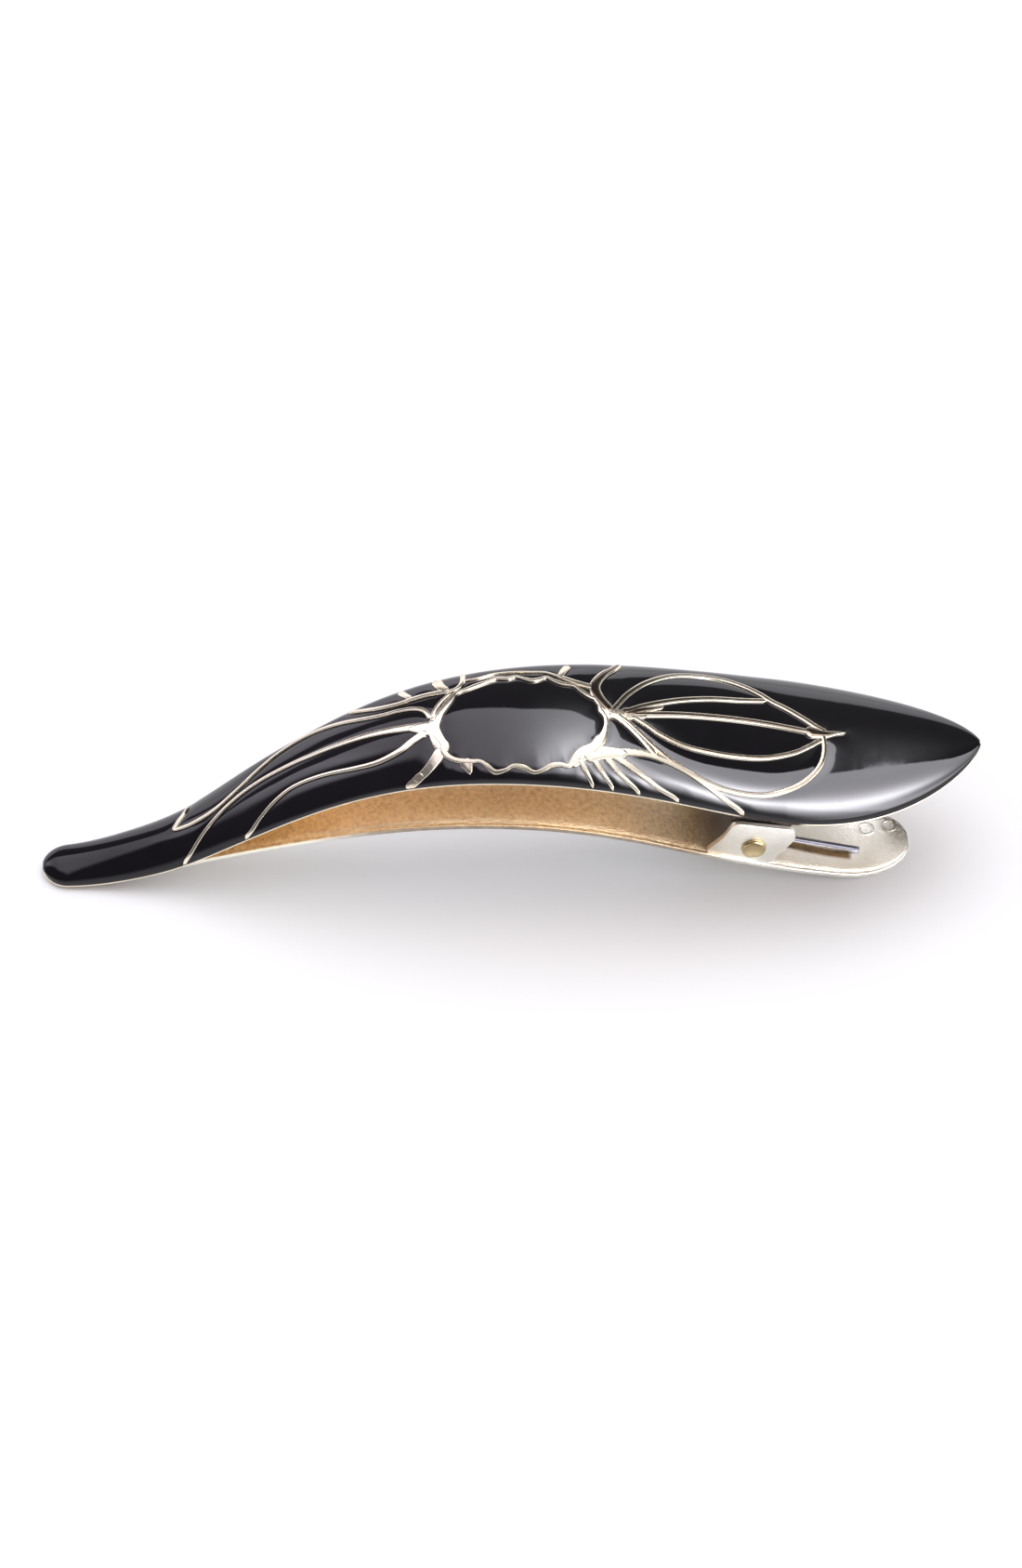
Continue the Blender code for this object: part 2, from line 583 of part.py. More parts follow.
end = math.atan2(hz, hx) + math.acos(COIL_R / hdist)
sweep = start - end
while sweep < 2 * math.pi * COIL_TURNS:
    sweep += 2 * math.pi
steps = int(round(sweep / (2 * math.pi) * 14))
for k in range(steps + 1):
    a = start - sweep * k / steps
    y = COIL_Y0 + (HIGH_Y - COIL_Y0) * k / steps
    pts.append((PIN_X + COIL_R * math.cos(a), y, PIN_Z + COIL_R * math.sin(a)))
a_end = start - sweep
t_high = (PIN_X + COIL_R * math.cos(a_end), PIN_Z + COIL_R * math.sin(a_end))
for k in range(1, 5):
    f = k / 4.0
    pts.append((t_high[0] * (1 - f) + high[0] * f, HIGH_Y, t_high[1] * (1 - f) + high[2] * f))
cu = bpy.data.curves.new("spring_path", 'CURVE')
cu.dimensions = '3D'
cu.bevel_depth = WIRE_R * MM
cu.bevel_resolution = 2
cu.use_fill_caps = True
sp = cu.splines.new('POLY')
sp.points.add(len(pts) - 1)
for p, q in zip(sp.points, pts):
    p.co = (*out(*q), 1.0)
cob = bpy.data.objects.new("spring_path", cu)
cut_coll.objects.link(cob)
dg = bpy.context.evaluated_depsgraph_get()
dg.update()
me = bpy.data.meshes.new_from_object(cob.evaluated_get(dg))
bpy.data.objects.remove(cob, do_unlink=True)
bm = bmesh.new()
bm.from_mesh(me)
bmesh.ops.remove_doubles(bm, verts=bm.verts[:], dist=0.000005)
bpy.data.meshes.remove(me)
spring = new_object("return_spring", bm, STEEL)

# the middle of the whole object is the frame's origin; moving pieces pivot on the pin
all_x = [v.co.x for ob in part_coll.objects for v in ob.data.vertices]
all_z = [v.co.z for ob in part_coll.objects for v in ob.data.vertices]
shift = Vector((-(min(all_x) + max(all_x)) / 2, 0, -min(all_z)))
pivot = out(PIN_X, 0, PIN_Z) + shift
for ob in part_coll.objects:
    moving = not (ob is leaf or ob is pin or ob is spring)
    ob.data.transform(Matrix.Translation(shift - (pivot if moving else Vector((0, 0, 0)))))
    if moving:
        ob.location = pivot
print("pivot m %.6f %.6f %.6f" % tuple(pivot), "shift mm %.4f %.4f" % (shift.x * 1000, shift.z * 1000))
for ob in part_coll.objects:
    print(ob.name, "tris", len(ob.data.polygons))
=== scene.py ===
"""Looks of the beak barrette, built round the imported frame."""
import bpy
import bmesh
import math
import numpy as np
from mathutils import Vector, Matrix


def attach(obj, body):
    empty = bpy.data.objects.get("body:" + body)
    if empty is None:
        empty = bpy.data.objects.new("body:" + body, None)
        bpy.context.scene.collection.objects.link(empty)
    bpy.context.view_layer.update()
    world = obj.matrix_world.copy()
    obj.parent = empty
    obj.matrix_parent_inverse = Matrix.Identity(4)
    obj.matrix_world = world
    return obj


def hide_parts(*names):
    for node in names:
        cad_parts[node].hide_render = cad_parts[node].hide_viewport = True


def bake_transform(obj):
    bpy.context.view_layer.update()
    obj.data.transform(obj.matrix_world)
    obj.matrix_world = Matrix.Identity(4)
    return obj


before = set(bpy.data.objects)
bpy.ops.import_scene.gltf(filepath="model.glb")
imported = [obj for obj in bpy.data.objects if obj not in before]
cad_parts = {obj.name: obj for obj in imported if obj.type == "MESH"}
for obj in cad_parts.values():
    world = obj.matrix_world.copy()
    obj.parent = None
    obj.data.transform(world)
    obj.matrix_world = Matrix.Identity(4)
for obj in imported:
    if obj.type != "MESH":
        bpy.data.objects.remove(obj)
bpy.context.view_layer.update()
MM = 0.001
LENGTH = 133.3
NODES = sorted(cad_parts)
ENAMEL_NODES = [n for n in NODES if n.startswith("enamel_")]

# ------------------------------------------------------------------ dimensions (mm, X from the beak tip)
SECTION_Q, EDGE_H, SHELL_T = 0.62, 0.45, 0.80
RELIEF_H, ENAMEL_H = 0.44, 0.30
TIP_R, LEAF_TIP_R, LEAF_LEN, LEAF_T, FOOT_X = 3.4, 3.0, 124.5, 0.75, 116.0
PIN_X, PIN_Z = 101.3, 8.65
EDGE_Z = [(0, 0.60), (5, 0.68), (12, 2.3), (20, 5.8), (28, 11.8), (36, 17.8), (45, 23.2), (55, 27.0),
          (66, 28.5), (78, 27.8), (90, 25.2), (102, 21.9), (113, 19.7), (121, 19.3), (127, 19.9), (133.3, 21.3)]
HALF_W = [(0, 3.3), (5, 3.55), (12, 4.1), (20, 4.75), (30, 6.2), (40, 7.4), (50, 8.55), (60, 9.6),
          (70, 10.5), (80, 11.25), (90, 12.0), (98, 12.6), (105, 12.85)]
CROWN = [(0, 0.9), (4, 1.7), (10, 2.1), (20, 2.6), (30, 2.15), (40, 1.9), (50, 2.5), (60, 3.1), (75, 3.6),
         (90, 4.3), (105, 4.6), (115, 4.5), (122, 3.8), (128, 2.3), (133.3, 0.25)]
LEAF_Z = [(0, 0.0), (5, 0.0), (9, 0.35), (12, 1.1), (15, 2.3), (20, 4.6), (27, 7.8), (36, 11.2), (46, 13.7),
          (56, 14.8), (64, 14.8), (74, 13.7), (85, 10.8), (95, 7.0), (105, 3.3), (111, 1.2), (116, 0.0)]
LEAF_HW = [(0, 2.2), (5, 2.6), (12, 3.1), (20, 3.9), (30, 5.3), (40, 6.3), (50, 6.7), (60, 6.87), (104, 6.87), (112, 6.4)]
EAR_IN, EAR_OUT, LUG_IN, LUG_OUT = 6.05, 6.80, 5.05, 5.82
EAR_OUTLINE = [(94.3, 7.9), (97.0, 11.0), (98.4, 14.0), (106.9, 12.1), (107.3, 10.3), (106.5, 8.8), (104.9, 7.1), (104.2, 4.9)]
LUG_OUTLINE = [(98.0, 23.2), (98.2, 14.0), (98.7, 9.4), (99.2, 7.4), (100.3, 6.35), (101.6, 6.15), (103.0, 6.6),
               (104.4, 8.6), (106.6, 11.9), (108.4, 13.7), (109.2, 17.0), (109.8, 22.2)]
WIRE_R, COIL_R, COIL_TURNS, COIL_PITCH, COIL_Y0 = 0.47, 2.35, 4, 1.02, -2.0

# relief strokes on the shell: path (X, Y), width at the start, width at the end
STROKES = {
    "leaf_tip": ([(21.2, 3.9), (20.6, 2.4), (19.7, 1.1), (19.0, -0.1)], 0.5, 0.6),
    "leaf_a": ([(19.0, -0.1), (21.0, -0.4), (23.3, -0.3), (25.3, 0.1), (26.9, 0.8), (28.8, 1.8), (30.6, 3.0), (32.3, 4.0), (34.3, 5.0), (37.3, 5.8), (40.2, 5.9), (43.2, 5.3), (46.5, 4.2), (49.2, 3.5), (51.6, 3.3), (53.6, 2.9), (54.9, 2.2), (55.6, 1.2), (55.9, 0.2)], 0.55, 0.75),
    "leaf_b": ([(20.3, -4.78), (20.6, -4.7), (21.7, -4.2), (23.3, -2.9), (24.9, -1.7), (26.9, -0.5), (29.0, 0.4), (31.2, 1.0), (33.5, 1.3), (36.8, 1.4), (38.9, 1.3), (41.2, 1.2), (43.6, 1.0), (46.5, 0.7), (49.1, 0.3), (51.7, -0.2), (53.8, -0.6), (55.9, -1.1)], 0.5, 1.5),
    "leaf_c": ([(29.4, -6.1), (29.6, -6.0), (30.6, -5.7), (32.0, -4.7), (33.8, -3.6), (35.9, -2.8), (38.2, -2.7), (41.1, -3.1), (44.4, -3.9), (47.2, -4.4), (49.2, -4.4), (51.6, -3.8), (53.2, -2.9), (55.3, -1.9)], 0.5, 1.2),
    "sprig_a": ([(44.6, 7.1), (46.6, 6.1), (48.6, 5.3), (50.5, 4.9), (52.2, 4.8), (53.4, 5.0), (55.0, 5.1), (56.7, 5.1), (58.7, 4.9)], 0.6, 0.9),
    "sprig_join": ([(58.9, 4.6), (57.5, 3.1), (56.6, 1.7), (56.2, 0.2)], 0.5, 0.9),
    "sprig_b": ([(56.9, 8.2), (57.5, 6.4), (58.5, 5.0)], 1.7, 1.0),
    "sprig_c": ([(51.8, 7.6), (52.5, 6.4), (53.4, 5.2)], 1.1, 0.7),
    "sprig_oval": ([(58.5, 5.0), (59.3, 5.0), (60.1, 5.6), (60.6, 6.8), (60.7, 8.6)], 0.6, 0.8),
    "upper_line": ([(60.5, 6.9), (62.6, 7.0), (65.2, 7.75), (68.1, 7.8), (70.2, 7.6), (72.2, 7.4), (74.1, 6.4)], 0.32, 0.4),
    "blob_l": ([(57.7, 1.7), (56.5, -0.4), (56.4, -2.0), (57.0, -4.0), (57.9, -5.6)], 1.3, 2.2),
    "blob_l_arm": ([(57.2, -1.5), (55.8, -1.4), (54.2, -1.0), (52.8, -0.6)], 3.3, 0.7),
    "drop": ([(60.3, -7.1), (60.8, -8.1), (61.1, -9.0)], 2.4, 0.5),
    "blob_r": ([(79.7, -4.6), (78.3, -6.4), (76.7, -7.6), (75.0, -8.9)], 1.7, 1.2),
    "blob_r2": ([(76.9, -7.6), (79.0, -7.1), (80.9, -7.0), (82.9, -7.0)], 2.5, 1.2),
    "branch": ([(57.3, -5.1), (56.3, -6.5), (55.0, -7.7), (53.4, -8.4)], 1.7, 1.0),
    "branch_foot": ([(54.6, -7.9), (53.3, -8.5), (52.2, -8.75)], 1.3, 0.9),
    "claw1": ([(76.3, -8.0), (77.0, -9.4), (77.8, -10.7), (78.0, -11.1)], 1.0, 0.45),
    "claw2": ([(78.0, -7.5), (79.3, -9.6), (80.5, -10.9), (80.8, -11.3)], 1.0, 0.45),
    "claw3": ([(79.8, -7.4), (81.9, -9.8), (84.0, -11.2), (84.5, -11.6)], 1.0, 0.45),
    "claw4": ([(80.9, -7.2), (84.6, -9.5), (87.0, -10.9), (89.3, -11.7), (89.9, -12.0)], 1.0, 0.5),
    "claw5": ([(81.1, -6.9), (83.9, -6.7), (86.7, -7.0), (90.8, -8.5), (93.8, -10.1), (96.3, -11.5), (98.3, -12.3), (99.0, -12.65)], 1.05, 0.65),
    "tri": ([(79.9, -1.3), (81.7, -1.3), (84.1, -3.6), (86.9, -7.0)], 0.9, 0.85),
    "spine": ([(79.3, 0.2), (81.2, -0.7), (83.3, -0.8), (86.1, -0.5)], 2.0, 1.2),
    "fork": ([(82.7, 10.2), (81.7, 8.6), (80.3, 7.1), (79.0, 4.5), (79.4, 2.0), (80.8, -0.4)], 1.1, 1.9),
    "fork_small": ([(74.2, 6.3), (76.1, 5.2), (77.9, 4.4), (79.3, 4.1)], 0.7, 1.1),
    "upper_stub": ([(75.5, 9.1), (74.7, 7.6), (74.1, 6.0)], 1.2, 0.8),
    "bud_hi": ([(81.0, -0.5), (81.9, 0.8), (83.7, 3.3), (86.5, 6.1), (90.1, 8.4), (93.8, 9.3), (97.2, 9.1), (100.3, 8.0), (102.6, 6.5), (104.1, 5.2), (106.2, 3.9), (108.5, 2.2), (110.1, 0.9), (111.4, 0.1)], 0.9, 1.0),
    "bud_node": ([(82.4, -0.5), (84.6, 0.0), (86.6, 0.6), (88.4, 1.15)], 1.8, 0.55),
    "petal_hi": ([(82.8, -0.5), (84.9, 0.7), (88.0, 2.0), (91.5, 3.2), (95.7, 4.2), (99.7, 4.7), (103.2, 5.3)], 1.0, 0.8),
    "vein": ([(83.8, -0.6), (86.1, -0.4), (89.9, 0.1), (94.4, 0.5), (98.9, 0.7), (103.5, 0.6), (108.0, 0.1), (110.7, -0.4)], 1.0, 0.9),
    "petal_lo": ([(83.8, -0.9), (85.7, -2.2), (87.8, -3.7), (91.0, -5.0), (94.6, -5.5), (98.5, -5.6), (102.5, -5.2), (106.3, -4.0), (108.6, -2.7), (110.7, -1.2)], 0.8, 0.8),
    "bud_lo": ([(81.9, -0.9), (83.4, -2.2), (85.7, -4.7), (88.1, -6.8), (91.0, -8.6), (94.6, -10.0), (98.2, -10.6), (101.9, -10.5), (104.8, -9.7), (107.2, -8.5), (109.2, -6.8), (110.5, -4.8), (111.0, -2.5), (110.9, -0.3)], 0.8, 0.8),
    "spike": ([(108.4, 0.1), (110.3, -0.2), (111.6, -0.2), (112.8, 0.05), (114.2, 0.2)], 2.7, 0.2),
}
MEDALLION = [(58.2, 2.2), (59.0, 3.4), (59.7, 4.3), (61.1, 4.8), (62.3, 5.3), (63.9, 5.9), (65.4, 6.5), (66.9, 6.3), (68.0, 6.6), (69.1, 6.1), (70.2, 5.6), (71.3, 5.8), (72.3, 6.2), (73.2, 5.5), (74.4, 4.8), (76.1, 4.3), (77.0, 3.3), (78.2, 2.2), (79.4, 1.4), (79.5, 0.0), (80.2, -1.6), (80.1, -3.2), (79.5, -4.9), (78.3, -6.3), (76.6, -7.1), (75.5, -8.1), (74.7, -8.9), (73.6, -8.7), (72.3, -8.8), (71.1, -9.3), (69.9, -9.5), (68.6, -8.9), (67.1, -8.6), (66.0, -9.0), (64.5, -9.1), (63.5, -8.3), (62.5, -7.6), (61.5, -7.5), (60.2, -7.3), (59.2, -7.0), (58.2, -6.4), (57.6, -5.6), (57.7, -4.7), (57.3, -3.7), (56.5, -2.5), (56.7, -1.0), (57.3, 0.6)]


# ------------------------------------------------------------------ shape functions
def natural_spline(stations):
    xs = np.array([a for a, _ in stations], float)
    ys = np.array([b for _, b in stations], float)
    n = len(xs)
    h = np.diff(xs)
    a = np.eye(n)
    r = np.zeros(n)
    for i in range(1, n - 1):
        a[i, i - 1:i + 2] = h[i - 1], 2 * (h[i - 1] + h[i]), h[i]
        r[i] = 6 * ((ys[i + 1] - ys[i]) / h[i] - (ys[i] - ys[i - 1]) / h[i - 1])
    m = np.linalg.solve(a, r)

    def value(x):
        x = np.clip(np.asarray(x, float), xs[0], xs[-1])
        i = np.clip(np.searchsorted(xs, x) - 1, 0, n - 2)
        t, hh = x - xs[i], h[i]
        return ((m[i] * (hh - t) ** 3 + m[i + 1] * t ** 3) / (6 * hh)
                + (ys[i] / hh - m[i] * hh / 6) * (hh - t) + (ys[i + 1] / hh - m[i + 1] * hh / 6) * t)
    return value


edge_z, half_w_raw, crown_raw = natural_spline(EDGE_Z), natural_spline(HALF_W), natural_spline(CROWN)
leaf_z_raw, leaf_w_raw = natural_spline(LEAF_Z), natural_spline(LEAF_HW)


def crown_h(x):
    x = np.asarray(x, float)
    return crown_raw(x) * np.sqrt(np.clip(1 - (np.clip(2.2 - x, 0, 2.2) / 2.2) ** 2, 0.02, 1))


def half_w(x):
    x = np.asarray(x, float)
    a = half_w_raw(np.minimum(x, 105.0))
    a = a * np.sqrt(np.clip(1 - (np.clip(TIP_R - x, 0, TIP_R) / TIP_R) ** 2, 0, 1))
    u = np.clip((x - 105.0) / (LENGTH - 105.0), 0, 1)
    return a * (1 - u * u) ** 0.68


def leaf_z_plain(x):
    return np.where((x >= FOOT_X) | (x <= 5.0), 0.0, np.maximum(0.0, leaf_z_raw(x)))


def leaf_z(x):
    """the bend into the flat tail plate is eased over a few millimetres"""
    x = np.asarray(x, float)
    eased = np.mean([leaf_z_plain(x + d) for d in np.linspace(-3.5, 3.5, 15)], axis=0)
    return np.where(x > 106.5, eased, leaf_z_plain(x))


def leaf_w(x):
    x = np.asarray(x, float)
    a = leaf_w_raw(np.minimum(x, 112.0))
    a = a * np.sqrt(np.clip(1 - (np.clip(LEAF_TIP_R - x, 0, LEAF_TIP_R) / LEAF_TIP_R) ** 2, 0, 1))
    u = np.clip((x - 112.0) / (LEAF_LEN - 112.0), 0, 1)
    return a * np.sqrt(np.clip(1 - u ** 3, 0, 1))


def leaf_arch(x):
    x = np.asarray(x, float)
    return 0.7 * np.clip((x - 6) / 20.0, 0, 1) * np.clip((96 - x) / 12.0, 0, 1)


def row(p):
    """design millimetres to the row frame in metres"""
    p = np.asarray(p, float)
    return (p - np.array([LENGTH / 2, 0, 0])) * MM


def shell_point(x, phi):
    x, phi = np.broadcast_arrays(np.asarray(x, float), np.asarray(phi, float))
    c = np.maximum(0.0, np.cos(phi))
    return np.stack([x, half_w(x) * np.sin(phi), edge_z(x) + EDGE_H + crown_h(x) * c ** (2 * SECTION_Q)], -1)


def shell_normal(x, phi):
    x, phi = np.broadcast_arrays(np.asarray(x, float), np.asarray(phi, float))
    x = np.clip(x, 0.35, LENGTH - 0.35)
    p = np.clip(phi, -1.45, 1.45)
    dx = shell_point(x + 0.1, p) - shell_point(x - 0.1, p)
    dp = shell_point(x, p + 0.02) - shell_point(x, p - 0.02)
    n = np.cross(dx, dp)
    n = np.where(n[..., 2:3] < 0, -n, n)
    return n / np.linalg.norm(n, axis=-1, keepdims=True)


def phi_of(x, y):
    return np.arcsin(np.clip(y / np.maximum(0.2, half_w(x)), -0.9998, 0.9998))


def on_shell(x, y, h):
    p = phi_of(x, y)
    return shell_point(x, p) + shell_normal(x, p) * np.asarray(h)[..., None]


def enamel_h(phi):
    """the enamel is 0.3 thick on the crown and thins to the turned edge"""
    u = np.clip((1.5708 - np.abs(phi)) / 0.6, 0, 1)
    return 0.10 + (ENAMEL_H - 0.10) * u * u * (3 - 2 * u)


def inner_z(x, y):
    w = half_w(x)
    wi = np.maximum(w - SHELL_T - 0.05, 0.35 * w)
    p = np.arcsin(np.clip(y / wi, -1, 1))
    return edge_z(x) + 0.02 + (crown_h(x) + EDGE_H - SHELL_T) * np.cos(p) ** (2 * SECTION_Q)


def curve_through(ctrl, step, closed=False):
    ctrl = [np.array(c, float) for c in ctrl]
    n = len(ctrl)
    dense = []
    for i in range(n if closed else n - 1):
        if closed:
            p = [ctrl[(i + k) % n] for k in (-1, 0, 1, 2)]
        else:
            p = [ctrl[max(0, min(n - 1, i + k))] for k in (-1, 0, 1, 2)]
        for k in range(10):
            t = k / 10.0
            dense.append(0.5 * (2 * p[1] + (p[2] - p[0]) * t + (2 * p[0] - 5 * p[1] + 4 * p[2] - p[3]) * t * t
                                + (3 * p[1] - p[0] - 3 * p[2] + p[3]) * t ** 3))
    dense.append(dense[0] if closed else ctrl[-1])
    dense = np.array(dense)
    run = np.concatenate([[0], np.cumsum(np.linalg.norm(np.diff(dense, axis=0), axis=1))])
    count = max(4, int(round(run[-1] / step)))
    s = np.linspace(0, run[-1], count + 1)
    res = np.stack([np.interp(s, run, dense[:, a]) for a in range(dense.shape[1])], -1)
    return res[:-1] if closed else res


# ------------------------------------------------------------------ mesh helpers
def mesh_object(name, verts, faces, smooth=True, mats=(), face_mat=None):
    me = bpy.data.meshes.new(name)
    me.from_pydata([tuple(v) for v in verts], [], [tuple(f) for f in faces])
    me.validate()
    for m in mats:
        me.materials.append(m)
    if face_mat is not None:
        me.polygons.foreach_set("material_index", face_mat)
    me.polygons.foreach_set("use_smooth", [smooth] * len(me.polygons))
    ob = bpy.data.objects.new(name, me)
    bpy.context.scene.collection.objects.link(ob)
    bm = bmesh.new()
    bm.from_mesh(me)
    bmesh.ops.recalc_face_normals(bm, faces=bm.faces[:])
    bm.to_mesh(me)
    bm.free()
    return ob


def loft(rings, closed=False, strip_caps=False):
    rings = np.asarray(rings, float)
    m, n = rings.shape[:2]
    verts = rings.reshape(-1, 3)
    faces = []
    for i in range(m if closed else m - 1):
        a, b = i * n, ((i + 1) % m) * n
        for j in range(n):
            k = (j + 1) % n
            faces.append((a + j, a + k, b + k, b + j))
    if not closed:
        for base in (0, (m - 1) * n):
            if strip_caps:
                for j in range(n // 2 - 1):
                    faces.append((base + j, base + j + 1, base + n - 2 - j, base + n - 1 - j))
            else:
                faces.append(tuple(base + j for j in range(n)))
    return verts, faces


def add(parts, vf):
    """collect several closed surfaces into one mesh"""
    base = sum(len(v) for v, _ in parts)
    parts.append((vf[0], [tuple(i + base for i in f) for f in vf[1]]))


def merged(parts):
    return np.concatenate([v for v, _ in parts]), [f for _, fs in parts for f in fs]


def round_outline(pts, radius, n=4):
    """polygon with its corners rounded by arcs of about this radius"""
    res = []
    m = len(pts)
    for i in range(m):
        p0, p1, p2 = (np.array(pts[(i + k) % m], float) for k in (-1, 0, 1))
        a, b = p0 - p1, p2 - p1
        la, lb = np.linalg.norm(a), np.linalg.norm(b)
        r = min(radius, 0.4 * la, 0.4 * lb)
        s, e = p1 + a / la * r, p1 + b / lb * r
        for k in range(n + 1):
            t = k / n
            res.append((1 - t) ** 2 * s + 2 * t * (1 - t) * p1 + t * t * e)
    return np.array(res)


def bevelled_plate(outline, y0, y1, bev=0.12):
    """plate in the XZ plane with softened edges"""
    c = outline.mean(0)
    nxt = np.roll(outline, -1, 0) - np.roll(outline, 1, 0)
    nrm = np.stack([nxt[:, 1], -nxt[:, 0]], -1)
    nrm /= np.maximum(1e-9, np.linalg.norm(nrm, axis=1, keepdims=True))
    area = 0.5 * np.sum(outline[:, 0] * np.roll(outline[:, 1], -1) - np.roll(outline[:, 0], -1) * outline[:, 1])
    if area < 0:
        nrm = -nrm
    s = 1 if y1 > y0 else -1
    levels = [(bev, y0), (bev * 0.3, y0 + s * bev * 0.3), (0, y0 + s * bev), (0, y1 - s * bev), (bev * 0.3, y1 - s * bev * 0.3), (bev, y1)]
    rings = []
    for inset, y in levels:
        o = outline - nrm * inset
        rings.append(row(np.stack([o[:, 0], np.full(len(o), y), o[:, 1]], -1)))
    return loft(rings)


# ------------------------------------------------------------------ materials
def new_material(name):
    m = bpy.data.materials.new(name)
    m.use_nodes = True
    nt = m.node_tree
    return m, nt, nt.nodes["Principled BSDF"]


def node(nt, kind, **kw):
    n = nt.nodes.new(kind)
    for k, v in kw.items():
        setattr(n, k, v)
    return n


def noise(nt, coord, scale, detail=4.0, rough=0.55):
    n = node(nt, "ShaderNodeTexNoise")
    n.inputs["Scale"].default_value = scale
    n.inputs["Detail"].default_value = detail
    n.inputs["Roughness"].default_value = rough
    nt.links.new(coord, n.inputs["Vector"])
    return n.outputs["Fac"]


def ramp(nt, fac, stops):
    r = node(nt, "ShaderNodeValToRGB")
    els = r.color_ramp.elements
    while len(els) < len(stops):
        els.new(0.5)
    for e, (p, c) in zip(els, stops):
        e.position = p
        e.color = (*c, 1.0) if len(c) == 3 else c
    nt.links.new(fac, r.inputs["Fac"])
    return r.outputs["Color"]


def map_range(nt, fac, a, b, c, d):
    r = node(nt, "ShaderNodeMapRange")
    for k, v in zip(("From Min", "From Max", "To Min", "To Max"), (a, b, c, d)):
        r.inputs[k].default_value = v
    nt.links.new(fac, r.inputs["Value"])
    return r.outputs["Result"]


def bump(nt, height, strength, distance, normal=None):
    b = node(nt, "ShaderNodeBump")
    b.inputs["Strength"].default_value = strength
    b.inputs["Distance"].default_value = distance
    nt.links.new(height, b.inputs["Height"])
    if normal is not None:
        nt.links.new(normal, b.inputs["Normal"])
    return b.outputs["Normal"]


def object_coord(nt):
    return node(nt, "ShaderNodeTexCoord").outputs["Object"]


def enamel_mat():
    m, nt, b = new_material("black_enamel")
    co = object_coord(nt)
    b.inputs["Metallic"].default_value = 0.0
    b.inputs["IOR"].default_value = 1.53
    # painted shade: the enamel's reflection is made weaker on the beak's nose, below about 42 mm
    sepx = node(nt, "ShaderNodeSeparateXYZ")
    nt.links.new(co, sepx.inputs[0])
    nt.links.new(map_range(nt, sepx.outputs[0], (18.0 - LENGTH / 2) * MM, (42.0 - LENGTH / 2) * MM, 0.38, 0.5), b.inputs["Specular IOR Level"])
    col = ramp(nt, noise(nt, co, 220, 3), [(0.35, (0.0022, 0.0017, 0.0026)), (0.7, (0.0040, 0.0030, 0.0046))])
    nt.links.new(col, b.inputs["Base Color"])
    nt.links.new(map_range(nt, noise(nt, co, 900, 3), 0.3, 0.75, 0.025, 0.06), b.inputs["Roughness"])
    # slow orange-peel ripple of a poured and polished enamel, plus a few dust pits
    n1 = bump(nt, noise(nt, co, 260, 2, 0.4), 0.10, 0.00012)
    v = node(nt, "ShaderNodeTexVoronoi")
    v.inputs["Scale"].default_value = 420
    nt.links.new(co, v.inputs["Vector"])
    pit = map_range(nt, v.outputs["Distance"], 0.0, 0.035, 0.0, 1.0)
    n2 = bump(nt, pit, 0.25, 0.00003, n1)
    nt.links.new(n2, b.inputs["Normal"])
    return m


def lamp_facing_shade(nt, colour, lobes):
    """base colour painted darker where the surface faces the brightest lamps, painted shade that keeps its highlights
    from burning out
    """
    tcn = node(nt, "ShaderNodeTexCoord")
    fac = None
    for direction, lo, hi, low in lobes:
        d = node(nt, "ShaderNodeVectorMath", operation="DOT_PRODUCT")
        nt.links.new(tcn.outputs["Normal"], d.inputs[0])
        d.inputs[1].default_value = direction
        f = map_range(nt, d.outputs["Value"], lo, hi, 1.0, low)
        if fac is None:
            fac = f
        else:
            mm_ = node(nt, "ShaderNodeMath", operation="MULTIPLY")
            nt.links.new(fac, mm_.inputs[0])
            nt.links.new(f, mm_.inputs[1])
            fac = mm_.outputs[0]
    sc = node(nt, "ShaderNodeVectorMath", operation="SCALE")
    nt.links.new(colour, sc.inputs[0])
    nt.links.new(fac, sc.inputs["Scale"])
    return sc.outputs["Vector"]


# directions toward the two hottest lamp patches, the dot-product range, and how dark the colour is painted when facing
# them
LOBES = (((0.221, -0.579, 0.785), 0.91, 0.985, 0.26), ((0.078, -0.355, 0.931), 0.93, 0.99, 0.35))


